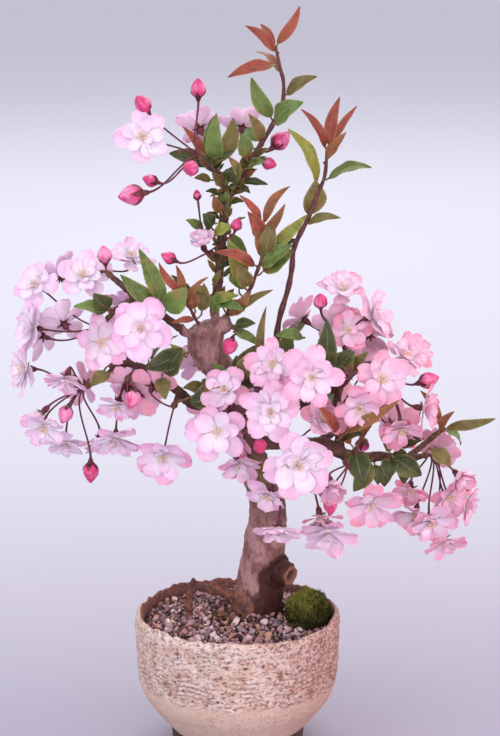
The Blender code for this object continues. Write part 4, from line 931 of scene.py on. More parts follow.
def clay_finish(settings):
    """Rough cream stoneware with rust specks, a smooth band under it, a dark foot, and painted warm shade on
    its right side.
    """
    paint = Finish("rough_cream_clay", 0.75, Specular_IOR_Level=0.3)
    wet = paint.cloud(130.0, 4.0, 0.6)
    fine = paint.cloud(800.0, 4.0, 0.65)
    height = paint.position(2)
    # right marks the pot's right side: its denser specks are the clay's own, its blend to the pink clay tone
    # is painted shade.
    right = paint.span(paint.position(0), 0.0, 0.058)
    denser = right * -0.05
    fine_specks = paint.cloud(620.0, 3.0, 0.7, paint.stretched((0.8, 0.8, 1.3)))
    fine_specks = 1.0 - paint.span(fine_specks + denser, 0.375, 0.435)
    specks = paint.cloud(300.0, 4.0, 0.75, paint.stretched((0.8, 0.8, 1.2)))
    specks = 1.0 - paint.span(specks + denser, 0.365, 0.405)
    paler = paint.span(wet, 0.35, 0.65) * (paint.mark("tint") + 0.35)
    body = paint.blend(paint.sum("MINIMUM", paler, 1.0), settings.clay, settings.clay_pale)
    body = paint.blend(paint.span(fine, 0.45, 0.75) * 0.25, body, settings.clay_tone_and_painted_shade)
    # Painted warm shade: the right side of the pot is blended to the pink clay tone.
    body = paint.blend(right * 0.55, body, settings.clay_tone_and_painted_shade)
    rust = paint.blend(paint.span(paint.cloud(330.0), 0.45, 0.75), settings.rust, settings.rust_dark)
    worn = paint.sum("MAXIMUM", specks * 0.92, paint.mark("under"))
    worn = paint.sum("MAXIMUM", worn, fine_specks * 0.75)
    rough_zone = paint.mark("tint")
    body = paint.blend(worn * rough_zone, body, rust)
    edge = height + paint.sway(wet, 0.002)
    body = paint.blend(paint.mark("along") * 0.8, body, settings.rim_edge)
    foot = 1.0 - paint.span(edge, 0.0122, 0.0131)
    body = paint.blend(foot, body, settings.foot)
    return paint.finish(body, [(fine * rough_zone, 0.0006), (fine, 0.00012), (worn * -1.0, 0.0003)])


def pot_inside_finish(settings):
    paint = Finish("pot_inside_clay", 0.85)
    rough = paint.cloud(500.0, 4.0, 0.65)
    colour = paint.blend(paint.span(rough, 0.3, 0.7), settings.inside, settings.rust_dark)
    return paint.finish(colour, [(rough, 0.0006)])


def plastic_finish():
    paint = Finish("black_mesh_plastic", 0.45)
    grain = paint.cloud(1200.0, 2.0)
    colour = paint.blend(grain, *MESH_BLACK)
    return paint.finish(colour, [(grain, 0.00004)], paint.ramp(grain, (0.3, 0.38), (0.7, 0.55)))


def floor_finish(settings):
    """A pale floor with painted shade, deeper in tone near the pot than behind it."""
    paint = Finish("pale_floor", 0.7, Specular_IOR_Level=0.1)
    back = paint.position(1) + paint.cloud(3.0, 1.0) * 0.05
    return paint.finish(paint.blend(paint.span(back, -0.45, 0.75), settings.floor_near_painted_shade, settings.floor))


# The pot.

def rim_wave(angle):
    """The uneven torn edge of the rim, from -1 to 1."""
    return 0.5 * math.sin(3 * angle + 1.0) + 0.3 * math.sin(8 * angle + 2.0) + 0.2 * math.sin(15 * angle)


def resample(outline, step):
    """Points along an outline, about one step apart, with its corners a little rounded."""
    outline = np.array(outline)
    for _ in range(2):
        cut = [outline[0]]
        for low, high in zip(outline, outline[1:]):
            cut += [low * 0.82 + high * 0.18, low * 0.18 + high * 0.82]
        cut.append(outline[-1])
        outline = np.array(cut)
    lengths = np.concatenate(([0.0], np.cumsum(np.linalg.norm(np.diff(outline, axis=0), axis=1))))
    count = max(2, int(round(lengths[-1] / step)))
    at = np.linspace(0.0, lengths[-1], count + 1)
    return np.stack((np.interp(at, lengths, outline[:, 0]), np.interp(at, lengths, outline[:, 1])), axis=-1)


def turned_solid(name, profile, sides, materials, finish_of):
    """A closed turned solid from a profile that starts and ends on the axis."""
    surface = Surface()
    turns = np.linspace(0.0, math.tau, sides, endpoint=False)
    rings = np.stack((np.outer(profile[1:-1, 0], np.cos(turns)), np.outer(profile[1:-1, 0], np.sin(turns)),
                      np.repeat(profile[1:-1, 1][:, None], sides, axis=1)), axis=-1)
    walls, low, high = tube_faces(len(rings), sides)
    corners = np.concatenate((rings.reshape(-1, 3), [(0, 0, profile[0, 1]), (0, 0, profile[-1, 1])]))
    faces = [(rows, finish_of(i + 1)) for i, rows in enumerate(walls)]
    faces += [(low, finish_of(0)), (high, finish_of(len(rings)))]
    surface.add(corners, (0.0, 0.0, 0.0, 0.0), faces)
    return make_piece(name, surface, materials)


def cut_away(target, tools):
    """Cuts closed tools out of a closed mesh, applied, with the tools removed."""
    group = bpy.data.collections.new(target.name + "_tools")
    bpy.context.scene.collection.children.link(group)
    for tool in tools:
        group.objects.link(tool)
    change = target.modifiers.new("cut", "BOOLEAN")
    change.operation = "DIFFERENCE"
    change.operand_type = "COLLECTION"
    change.collection = group
    change.solver = "MANIFOLD"
    bake_modifiers(target)
    for tool in tools:
        bpy.data.objects.remove(tool)
    bpy.data.collections.remove(group)


def bake_modifiers(target):
    """Turns an object's modifiers into its mesh."""
    bpy.context.view_layer.update()
    ready = target.evaluated_get(bpy.context.evaluated_depsgraph_get())
    mesh = bpy.data.meshes.new_from_object(ready)
    target.modifiers.clear()
    target.data = mesh
    mesh.name = target.name


def drain_cutters(materials):
    """The two drain holes and the channels under the foot that let the water out at the back."""
    cutters = []
    for x in (-DRAIN_X, DRAIN_X):
        hole = Surface()
        add_tube(hole, [(x, 0.0, CUT_BELOW), (x, 0.0, FLOOR_TOP - CUT_BELOW)], [DRAIN_RADIUS] * 2, 40)
        channel = Surface()
        half = CHANNEL_WIDTH / 2
        corners = [(a, b, c) for a in (x - half, x + half) for b in (0.0, CHANNEL_REACH)
                   for c in (CUT_BELOW, CHANNEL_DEPTH)]
        sides = [(0, 1, 3, 2), (4, 6, 7, 5), (0, 4, 5, 1), (2, 3, 7, 6), (0, 2, 6, 4), (1, 5, 7, 3)]
        channel.add(corners, (0.0, 0.0, 0.0, 0.0), [(sides, 0)])
        cutters.append(make_piece("drain_hole_cut", hole, materials))
        cutters.append(make_piece("drain_channel_cut", channel, materials))
    return cutters


def skin_depth(x, y, z):
    """How far the torn skin stands out at a place on the wall, how dark it is, and how rough."""
    spot = Vector((x, y, z))
    level = Vector((x, y, 0.0))
    border = SKIN_BORDER + 2.2 * noise(level * 0.1) + 1.2 * noise(spot * 0.55)
    zone = within((z - border) / 1.4)
    spread = Vector((x, y, z * 1.2))
    lumps = noise(spread * 0.16) * 0.4 + noise(spread * 0.42) * 0.55
    fine = max(0.0, noise(spread * 0.9 + Vector((7.0, 3.0, 1.0))) - 0.32) * 2.6
    coarse = max(0.0, noise(spread * 0.4 + Vector((2.0, 9.0, 4.0))) - 0.42) * 4.5
    pit = min(1.2, fine + coarse)
    lines = 0.0
    if THROWN_FROM < z < THROWN_FROM + THROWN_HIGH:
        sway = noise(level * 0.05) * 4.0
        broken = within(noise(level * 0.09 + Vector((0.0, 0.0, z * 0.12))) * 3.0 + 0.7)
        fade = math.sin(math.pi * (z - THROWN_FROM) / THROWN_HIGH)
        lines = max(0.0, math.sin((z + sway) * 2.3) - 0.2) * fade * broken
    shade = min(1.0, (pit * 0.9 + lines * 0.8) * zone)
    return zone * (lumps - pit - lines * 0.7), shade, zone


def roughen_pot(pot, settings):
    """Pushes the outside into a torn, pitted skin with throwing lines, and tears the rim.

    Its marks: under is how dark a pit is, tint how torn the skin is, and along the rim's inner edge.
    """
    mesh = pot.data
    count = len(mesh.vertices)
    places = np.empty(count * 3)
    mesh.vertices.foreach_get("co", places)
    places = places.reshape(-1, 3) / MM
    marks = np.zeros((count, 3))
    for i, (x, y, z) in enumerate(places):
        reach = math.hypot(x, y)
        if z < FOOT_TOP or reach < FOOT_REACH:
            continue
        angle = math.atan2(y, x)
        if z > WAVY_FROM:
            ragged = noise(Vector((x, y, 0.0)) * 0.22) * 1.5 + noise(Vector((x, y, z)) * 0.55) * 0.6
            wave = RIM_WAVE * rim_wave(angle) * min(1.0, (z - WAVY_FROM) / 8.0)
            z += wave + ragged * max(0.0, (z - TORN_FROM) / 3.0)
        if reach > np.interp(z, *OUTER_WALL) - SKIN_THICK:
            depth, shade, zone = skin_depth(x, y, z)
            push = settings.roughness_depth / MM * depth + noise(Vector((x, y, z)) * 0.1) * 0.15
            x += math.cos(angle) * push
            y += math.sin(angle) * push
            marks[i, :2] = (shade, zone)
        elif z > INNER_EDGE:
            marks[i, 2] = 1.0
        places[i] = (x, y, z)
    mesh.vertices.foreach_set("co", (places * MM).ravel())
    set_marks(mesh, under=marks[:, 0], tint=marks[:, 1], along=marks[:, 2])
    mesh.update()


def build_pot(settings):
    wall = resample(POT_OUTSIDE, 0.25)
    wall = np.concatenate((wall[wall[:, 1] < 36.0][::6], wall[wall[:, 1] >= 36.0][::2]))
    rim = resample([POT_OUTSIDE[-1], (53.7, RIM_HEIGHT + 0.5), POT_INSIDE[0]], 0.6)[1:]
    upper = resample([POT_INSIDE[0], POT_INSIDE[1], INNER_STEP], 0.9)[1:]
    lower = resample([INNER_STEP] + POT_INSIDE[2:], 5.0)[1:]
    base = np.array([(0.0, 0.0), (12.0, 0.0), (24.0, 0.0)])
    close = np.array([(20.0, FLOOR_TOP), (0.0, FLOOR_TOP)])
    profile = np.concatenate((base, wall, rim, upper, lower, close))
    outside = len(base) + len(wall) + len(rim) - 2
    materials = [clay_finish(settings), pot_inside_finish(settings)]
    pot = turned_solid("pot_body", profile, settings.sides, materials, lambda row: int(row >= outside))
    cut_away(pot, drain_cutters(materials[:1]))
    roughen_pot(pot, settings)
    pot.data.shade_smooth()
    pot.data.set_sharp_from_angle(angle=math.radians(60.0))
    seat_piece(pot, "clay_cream", "pot")


# The grit and the moss.

def from_moss(x, y):
    """How far out from the moss's middle, where 1 is its edge."""
    return math.hypot((x - MOSS_CENTRE[0]) / MOSS_HALF[0], (y - MOSS_CENTRE[1]) / MOSS_HALF[1])


def from_trunk(x, y):
    return math.hypot(x - TRUNK_FOOT[0], y - TRUNK_FOOT[1])


def soil_height(x, y):
    """The grit's surface: mounded at the trunk and flat under the moss."""
    if from_moss(x, y) < MOSS_FLAT:
        return MOSS_SEAT - CLEAR
    return SOIL_LEVEL + SOIL_MOUND * math.exp(-(from_trunk(x, y) / SOIL_MOUND_SPREAD) ** 2)


def build_grit_bed(settings):
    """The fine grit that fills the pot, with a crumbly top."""
    wall = resample(SOIL_OUTSIDE, 8.0)
    top = np.stack((np.linspace(50.8, 1.0, 60), np.full(60, SOIL_TOP)), axis=-1)
    profile = np.concatenate((wall, top, [(0.0, SOIL_TOP)]))
    bed = turned_solid("grit_bed", profile, 180, [bed_finish(settings)], lambda row: 0)
    for corner in bed.data.vertices:
        x, y, z = corner.co / MM
        if z > SOIL_TOP - 0.5:
            spot = Vector((x, y, 0.0))
            crumbs = noise(spot * 0.9) * 0.5 + noise(spot * 0.35) * 0.6
            corner.co.z = (soil_height(x, y) - 0.7 + crumbs) * MM
    seat_piece(bed, "grit", "soil")


def add_stone(surface, centre, size, dice, tint):
    """An angular worn stone."""
    axes = Quaternion([dice.gauss(0, 1) for _ in range(4)]).normalized()
    turn = np.array(axes.to_matrix())
    corners = STONE_CORNERS.copy()
    for _ in range(7):
        way = unit(np.array([dice.gauss(0, 1) for _ in range(3)]))
        beyond = np.maximum(corners @ way - dice.uniform(0.36, 0.72), 0.0)
        corners -= np.outer(beyond * 0.95, way)
    corners *= (size * 0.58, size * dice.uniform(0.4, 0.56), size * dice.uniform(0.32, 0.46))
    marks = np.zeros((len(corners), 4))
    marks[:, 3] = tint
    surface.add(corners @ turn.T + np.asarray(centre), marks, [(STONE_FACES, 0)])


def stone_place(dice, taken):
    """A free place and a size for one more loose stone, or None where one would be in the way."""
    reach = STONE_REACH * math.sqrt(dice.random())
    angle = dice.uniform(0.0, math.tau)
    x, y = reach * math.cos(angle), reach * math.sin(angle)
    size = dice.choice(STONE_SIZES)
    if from_trunk(x, y) < TRUNK_CLEAR + size * 0.4 or from_moss(x, y) < MOSS_OVERHANG:
        return None
    column, row = int(x // STONE_CELL), int(y // STONE_CELL)
    near = [stone for a in range(-2, 3) for b in range(-2, 3)
            for stone in taken.get((column + a, row + b), ())]
    if any(math.hypot(x - a, y - b) < (size + other) * STONE_OVERLAP for a, b, other in near):
        return None
    taken.setdefault((column, row), []).append((x, y, size))
    return x, y, size


def build_stones(settings):
    """Loose stones in five kinds and bark crumbs round the trunk, laid over the bed."""
    dice = random.Random(SEED + 40)
    surfaces = {name: Surface() for name in STONE_KINDS}
    names = list(STONE_KINDS)
    weights = [share for share, _ in STONE_KINDS.values()]
    taken = {}

    def lay(x, y, size, name, lift):
        add_stone(surfaces[name], (x, y, soil_height(x, y) + lift), size, dice, dice.random())

    placed = 0
    for _ in range(settings.stones * TRIES_PER_STONE):
        found = stone_place(dice, taken)
        if found is None:
            continue
        x, y, size = found
        name = dice.choices(names, weights)[0]
        if math.hypot(x + 6.0, (y - 7.0) * 0.8) < 12.0 + 4.0 * noise(Vector((x, y, 0.0)) * 0.2):
            name = dice.choice((name, "grit_bark", "grit_bark", "grit_dark"))
        lay(x, y, size, name, dice.uniform(-0.2, 0.9))
        placed += 1
        if placed == settings.stones:
            break
    for x, y, size in PALE_STONES:
        lay(x, y, size, "grit_pale", 1.4)
    for name, (_, (light, dark, fleck)) in STONE_KINDS.items():
        stones = make_piece(name, surfaces[name], [stone_finish(name, light, dark, fleck)], 27.0)
        seat_piece(stones, "grit", "soil")


def moss_lump(x, y, level):
    """How far the cushion swells at a place on it: uneven lumps."""
    spot = Vector((x, y, level))
    return 0.97 + 0.16 * noise(spot * 2.1 + Vector((3.0, 1.0, 5.0))) + 0.07 * noise(spot * 6.0)


def moss_place(x, y, level, inset, drop):
    """A place on the cushion, in millimetres, from one on a round dome."""
    lumps = moss_lump(x, y, level)
    return (MOSS_CENTRE[0] + MOSS_HALF[0] * x * lumps * inset,
            MOSS_CENTRE[1] + MOSS_HALF[1] * y * lumps * inset,
            MOSS_SEAT + (MOSS_HEIGHT - drop) * level * lumps)


TUFT_SIDES = [(0, 1, 4, 3), (1, 2, 5, 4), (2, 0, 3, 5)]
TUFT_ENDS = [(2, 1, 0), (3, 4, 6), (4, 5, 6), (5, 3, 6)]


def add_tuft(surface, foot, tip, way, dice):
    """A three-sided tip of moss, widest near its middle."""
    aside = square_to(way, scatter(dice, 1.0).normalized())
    other = way.cross(aside)
    wide = dice.uniform(0.25, 0.5)
    belly = foot.lerp(tip, 0.45)
    corners = [foot + aside * wide * 0.6, foot - aside * wide * 0.3 + other * wide * 0.5,
               foot - aside * wide * 0.3 - other * wide * 0.5, belly + aside * wide,
               belly - aside * wide * 0.5 + other * wide * 0.8,
               belly - aside * wide * 0.5 - other * wide * 0.8, tip]
    marks = np.zeros((7, 4))
    marks[3:6, 0] = 0.5
    marks[6, 0] = 1.0
    marks[:, 3] = dice.random()
    surface.add([tuple(corner) for corner in corners], marks, [(TUFT_SIDES, 0), (TUFT_ENDS, 0)])


def add_moss_core(surface):
    """The soft lumpy dome that the tufts stand on."""
    sides = 72
    rings = []
    for level in np.concatenate(([0.0], np.linspace(0.06, 0.97, 22))):
        spread = math.sqrt(1.0 - level * level) * 0.96
        turns = [math.tau * side / sides for side in range(sides)]
        rings.append([moss_place(math.cos(turn) * spread, math.sin(turn) * spread, level, 1.0, 1.0)
                      for turn in turns])
    walls, low, high = tube_faces(len(rings), sides)
    ends = [(*MOSS_CENTRE, MOSS_SEAT), (*MOSS_CENTRE, MOSS_SEAT + MOSS_HEIGHT - 0.8)]
    surface.add(np.concatenate((np.array(rings).reshape(-1, 3), ends)), (0.0, 0.0, 0.0, 0.2),
                [(walls.reshape(-1, 4), 0), (np.concatenate((low, high)), 0)])


def build_moss(settings):
    """A cushion of upright leafy tufts over a soft core."""
    dice = random.Random(SEED + 50)
    cushion = Surface()
    add_moss_core(cushion)
    for _ in range(settings.tufts):
        level = dice.random() ** 0.8
        angle = dice.uniform(0.0, math.tau)
        spread = math.sqrt(max(0.0, 1.0 - level * level))
        x, y = math.cos(angle) * spread, math.sin(angle) * spread
        foot = Vector(moss_place(x, y, level, 0.94, 1.4))
        normal = Vector((x / MOSS_HALF[0], y / MOSS_HALF[1], level / MOSS_HEIGHT)).normalized()
        way = (normal + Vector((-0.1, 0.0, 0.5)) + scatter(dice, 0.6)).normalized()
        tip = foot + way * (1.2 + 2.6 * dice.random() ** 2)
        tip.z = max(tip.z, MOSS_SEAT + 0.3)
        add_tuft(cushion, foot, tip, way, dice)
    moss = make_piece("moss_cushion", cushion, [moss_finish("moss", settings.moss, settings.moss_dark)])
    seat_piece(moss, "moss", "moss")


# The wood.

KNOB_END = Vector(CUT_KNOB[-1][:3])
KNOB_WAY = (KNOB_END - Vector(CUT_KNOB[-2][:3])).normalized()
KNOB_LENGTH = 11.0
KNOB_REACH = 9.5
KNOB_FACE = 1.8
KNOB_RED = 0.8
ROOT_STARTS = -4.0
ROOT_TOP = 98.0
# How high and how far round the trunk the painted shade on its low right side reaches.
SHADE_PATCH_TOP = 108.0
SHADE_PATCH_REACH = 18.0
STUMP_REACH = 14.0
THIN_WOOD = 2.8
NEAR_SAMPLES = 24


def wood_runs():
    """Every run of wood as smooth points with radii, thickest first."""
    root = spline(SURFACE_ROOT, 6) * (1.0, 1.0, 1.0, 0.7)
    runs = [(spline(TRUNK, 6), 28), (root, 16), (spline(CUT_KNOB, 4), 20), (spline(CALLUS, 5), 16),
            (spline(STUMP, 4), 20), (spline(ROOT_TIP, 4), 12)]
    for points in LIMBS.values():
        runs.append((spline(points, 6), 14))
    for inner, tip in SPURS.values():
        inner, tip = Vector(inner), Vector(tip)
        path = [inner.lerp(tip, share) for share in (0.0, 0.5, 1.0)]
        runs.append((np.array([(*path[0], 1.7), (*path[1], 1.45), (*path[2], 1.5)]), 12))
    return runs


def bark_relief(spot, share):
    """How far the bark stands out: broad lumps on thick wood, finer ones on thin limbs."""
    tall = Vector((spot.x, spot.y, spot.z * 0.45))
    push = noise(tall * 0.22) * 0.9 * share
    push += noise(tall * 0.6 + Vector((5, 2, 9))) * (0.18 + 0.25 * share)
    push += noise(Vector((spot.x * 0.5, spot.y * 0.5, spot.z * 1.1))) * (0.16 + 0.1 * share)
    push -= max(0.0, noise(tall * 1.1) - 0.25) * (0.25 + 0.5 * share)
    push += noise(spot * 0.85) * 0.4 * (1.0 - share)
    if spot.x < ROOT_STARTS and spot.z < ROOT_TOP:
        push += noise(spot * 0.3 + Vector((8, 1, 1))) * 1.3
    return push


def cut_knob(spot, push):
    """Round the knob's cut end: the relief with its lip and hollow, how much painted shade its hollow and
    neck get, and how red the end is.
    """
    level = (spot - KNOB_END).dot(KNOB_WAY)
    from_axis = (spot - KNOB_END - KNOB_WAY * level).length
    if level <= -KNOB_LENGTH or from_axis >= KNOB_REACH:
        return push, 0.0, 0.0
    shown = max(0.0, 1.0 + level / KNOB_FACE)
    lip = math.exp(-((from_axis - 4.3) / 1.2) ** 2)
    hollow = math.exp(-(from_axis / 2.6) ** 3)
    push += shown * (0.4 * lip - 4.5 * hollow)
    push += 1.5 * within((-0.8 - level) / 1.2)
    push += noise(spot * 0.35 + Vector((4, 4, 4))) * (1.1 - 0.6 * shown)
    # The neck behind the cut face and the hollow in its middle get painted shade.
    behind = within((-0.5 - level) / 0.6)
    if level > -KNOB_FACE:
        return push, max(math.exp(-(from_axis / 2.9) ** 6), behind), KNOB_RED
    return push, behind, 0.0


def painted_shade_side(spot):
    """The painted shade low on the right of the trunk, from 0 to 1."""
    if spot.z >= SHADE_PATCH_TOP or from_trunk(spot.x, spot.y) >= SHADE_PATCH_REACH:
        return 0.0
    side = (spot.x - TRUNK_FOOT[0]) * 0.85 - (spot.y - TRUNK_FOOT[1]) * 0.5 - 3.0
    edge = noise(spot * 0.15) * 4.0 - max(0.0, spot.z - 96.0) * 0.9
    return within((side - 2.0 + edge) / 1.5) * within((SHADE_PATCH_TOP - spot.z) / 3.0)


def melted_wood(runs, voxel):
    """Every run of wood as one closed mesh, melted together."""
    surface = Surface()
    for points, sides in runs:
        add_tube(surface, points[:, :3], points[:, 3], sides)
    wood = make_piece("tree_wood", surface, [])
    melt = wood.modifiers.new("melt", "REMESH")
    melt.mode = "VOXEL"
    melt.voxel_size = voxel
    melt.use_smooth_shade = True
    bake_modifiers(wood)
    return wood


def build_wood(settings):
    """Trunk, root, knob and limbs, melted into one grown skin with bark relief.

    Its marks: tint is 1 on thick wood and 0 on thin limbs, under how much painted shade it gets and along
    how red it is.
    """
    runs = wood_runs()
    wood = melted_wood(runs, settings.voxel)
    samples = [point for points, _ in runs for point in points]
    tree = KDTree(len(samples))
    for i, point in enumerate(samples):
        tree.insert(Vector(point[:3]), i)
    tree.balance()
    mesh = wood.data
    count = len(mesh.vertices)
    tints, painted_shade, red = np.ones(count), np.zeros(count), np.zeros(count)
    normals = np.empty(count * 3)
    mesh.vertices.foreach_get("normal", normals)
    normals = normals.reshape(-1, 3)
    stump = Vector(STUMP[1][:3])
    moved = np.empty((count, 3))
    for i, corner in enumerate(mesh.vertices):
        spot = corner.co / MM
        thick = min((distance - samples[index][3], samples[index][3])
                    for _, index, distance in tree.find_n(spot, NEAR_SAMPLES))[1]
        tints[i] = 1.0 if (spot - stump).length < STUMP_REACH else within((thick - THIN_WOOD) / 3.2)
        push, painted_shade[i], red[i] = cut_knob(spot, bark_relief(spot, tints[i]))
        painted_shade[i] = max(painted_shade[i], painted_shade_side(spot))
        moved[i] = np.array(spot) + normals[i] * push
    mesh.vertices.foreach_set("co", (moved * MM).ravel())
    set_marks(mesh, tint=tints, under=painted_shade, along=red)
    mesh.materials.clear()
    mesh.materials.append(bark_finish("bark", settings))
    mesh.update()
    mesh.shade_smooth()
    seat_piece(wood, "bark", "trunk_and_branches")


# The blossom.

# Finish numbers after the first one, in a spray's petals piece and in its stalks piece.
BUD_FINISH = 1
THREAD, ANTHER, COLLAR, PALE_DISC = range(1, 5)
PETAL_ROWS = 12
PETAL_COLUMNS = 7
PETAL_WIDEST = 0.66
STAMENS = 17
GOLDEN_TURN = 0.382
CALYX_DEPTH = 5.4


def add_petal(surface, centre, facing, outward, length, width, rise, curl, cup, dice, tint, lift=0.0):
    """One spoon-shaped petal with a narrow claw, wavy sides and a broad round end."""
    v = 1.0 - (1.0 - np.linspace(0.0, 1.0, PETAL_ROWS)) ** 1.3
    u = np.linspace(-1.0, 1.0, PETAL_COLUMNS)
    slope = rise + curl * (0.5 - v) + dice.uniform(-0.12, 0.12) * np.sin(v * 5.0)
    step = np.diff(v) * length
    out = 0.5 + np.concatenate(([0.0], np.cumsum(np.cos(slope[:-1]) * step)))
    up = lift + np.concatenate(([0.0], np.cumsum(np.sin(slope[:-1]) * step)))
    swell = 0.12 + 0.88 * np.sin(np.clip(v / PETAL_WIDEST, 0.0, 1.0) * math.pi / 2) ** 1.25
    ends = np.sqrt(1.0 - 0.94 * np.clip((v - PETAL_WIDEST) / (1.0 - PETAL_WIDEST), 0.0, 1.0) ** 2.2)
    half = width / 2 * swell * ends
    grid_v, grid_u = np.meshgrid(v, u, indexing="ij")
    half = half[:, None]
    phase, second = dice.uniform(0.0, math.tau), dice.uniform(0.0, math.tau)
    back = length * (dice.uniform(0.0, 0.07) * np.exp(-(grid_u / 0.25) ** 2)
                     + 0.025 * np.sin(grid_u * 7.0 + phase)) * grid_v ** 8
    waves = np.sin(grid_v * 8.0 + phase) * np.sign(grid_u) + 0.8 * np.sin(grid_v * 5.0 + second)
    raised = (cup * half * grid_u ** 2 * (1.0 - 0.3 * grid_v)
              + length * 0.045 * grid_v * waves * grid_u ** 2
              - half * 0.12 * np.exp(-(grid_u / 0.3) ** 2) * (1.0 - grid_v)
              + length * 0.03 * grid_v ** 3 * np.sin(grid_u * 3.0 + phase)
              + 0.28 * grid_v * np.sin(grid_u * 6.5 + second) * np.sin(grid_v * 4.0 + phase))
    roll = dice.uniform(-0.22, 0.22) * grid_v ** 0.5
    aside = facing.cross(outward)
    sideways = grid_u * half + length * dice.uniform(-0.07, 0.07) * grid_v ** 2
    across = sideways * np.cos(roll)
    raised = raised + sideways * np.sin(roll)
    flat_x = out[:, None] - np.cos(slope)[:, None] * back - np.sin(slope)[:, None] * raised
    flat_z = up[:, None] - np.sin(slope)[:, None] * back + np.cos(slope)[:, None] * raised
    grid = (np.array(centre) + flat_x[..., None] * np.array(outward) + across[..., None] * np.array(aside)
            + flat_z[..., None] * np.array(facing))
    add_sheet(surface, grid, np.array(facing), 0.3, 0, tint, v)


def ring_way(across, along, angle):
    return across * math.cos(angle) + along * math.sin(angle)


def add_sepals(surface, centre, across, along, facing, start, rise, curl, reach):
    """Five narrow pointed sepals round the top of the calyx."""
    for side in range(PETAL_COUNT):
        outward = ring_way(across, along, math.tau * (side + 0.1) / PETAL_COUNT)
        aside = facing.cross(outward)
        rows = []
        place = centre + outward * start
        for step in range(6):
            share = step / 5
            slope = rise + curl * share
            half = 0.95 * (1.0 - share) ** 0.7 + 0.08
            keel = facing * -0.12
            rows.append([place - aside * half, place + keel, place + aside * half])
            place = place + (outward * math.cos(slope) + facing * math.sin(slope)) * reach / 5
        grid = np.array([[tuple(p) for p in row] for row in rows])
        add_sheet(surface, grid, np.array(facing), 0.35, 0, 0.3)


def add_stalk(surface, joint, facing, root, way):
    """A long thin stalk, a little thicker where it meets the calyx and the spur."""
    pull = (joint - root).length * STALK_BEND
    path = bend(joint, joint - facing * pull, root + way * pull, root, 14)
    share = np.linspace(0.0, 1.0, 15)
    radii = 0.5 + 0.25 * np.exp(-share * 9.0) + 0.2 * np.exp(-(1.0 - share) * 12.0)
    add_tube(surface, path, radii, 7)


def add_calyx(surface, centre, facing, scale=1.0):
    """The narrow urn under the petals."""
    levels = np.array([-5.6, -5.1, -4.2, -3.1, -1.9, -0.8, 0.1]) * scale
    radii = np.array([0.62, 0.95, 1.45, 1.75, 1.7, 1.45, 1.3]) * scale
    path = places_along(centre, facing, levels)
    add_tube(surface, path, radii, 12)


def add_stamens(surface, axes, size, dice):
    """A small tuft of pale anthers on short threads over a yellow green disc."""
    centre, facing, across = axes
    along = facing.cross(across)
    path = places_along(centre, facing, (-0.3, 0.5, 0.9))
    add_tube(surface, path, [1.4, 1.25, 0.6], 10, PALE_DISC)
    for number in range(STAMENS):
        angle = math.tau * number * GOLDEN_TURN + dice.uniform(-0.3, 0.3)
        lean = 0.1 + 0.55 * math.sqrt(number / STAMENS) + dice.uniform(-0.12, 0.12)
        reach = size * dice.uniform(0.09, 0.15)
        outward = ring_way(across, along, angle)
        start = centre + outward * 0.5 + facing * 0.6
        way = (outward * math.sin(lean) + facing * math.cos(lean)).normalized()
        tip = start + way * reach
        middle = start.lerp(tip, 0.5) + facing * 0.2
        path = np.array([tuple(start), tuple(middle), tuple(tip)])
        add_tube(surface, path, [0.17, 0.15, 0.12], 4, THREAD)
        add_grain(surface, tuple(tip), dice.uniform(0.34, 0.48), ANTHER, dice.random(), (np.array(way), 1.3))


def petal_ring(petals, axes, number, turn, size, rises, bends, depth, lift, dice):
    """Some petals round a flower, each a little different.

    axes is the flower's middle, the way it looks and a way across it. size is a petal's reach and its
    width as a share of that. bends is two ranges: how far it curls, in degrees, and how it is cupped.
    """
    centre, facing, across = axes
    reach, wide = size
    curl, cup = bends
    along = facing.cross(across)
    for side in range(number):
        outward = ring_way(across, along, math.tau * (side + turn + dice.uniform(-0.15, 0.15)) / number)
        length = reach * dice.uniform(0.88, 1.06)
        width = length * wide * dice.uniform(0.85, 1.15)
        rise = rises[side % len(rises)] + math.radians(dice.uniform(-11, 11))
        bent = math.radians(dice.uniform(*curl))
        cupped = dice.uniform(*cup)
        tint = depth + dice.uniform(-0.16, 0.16)
        add_petal(petals, centre, facing, outward, length, width, rise, bent, cupped, dice, tint, lift)


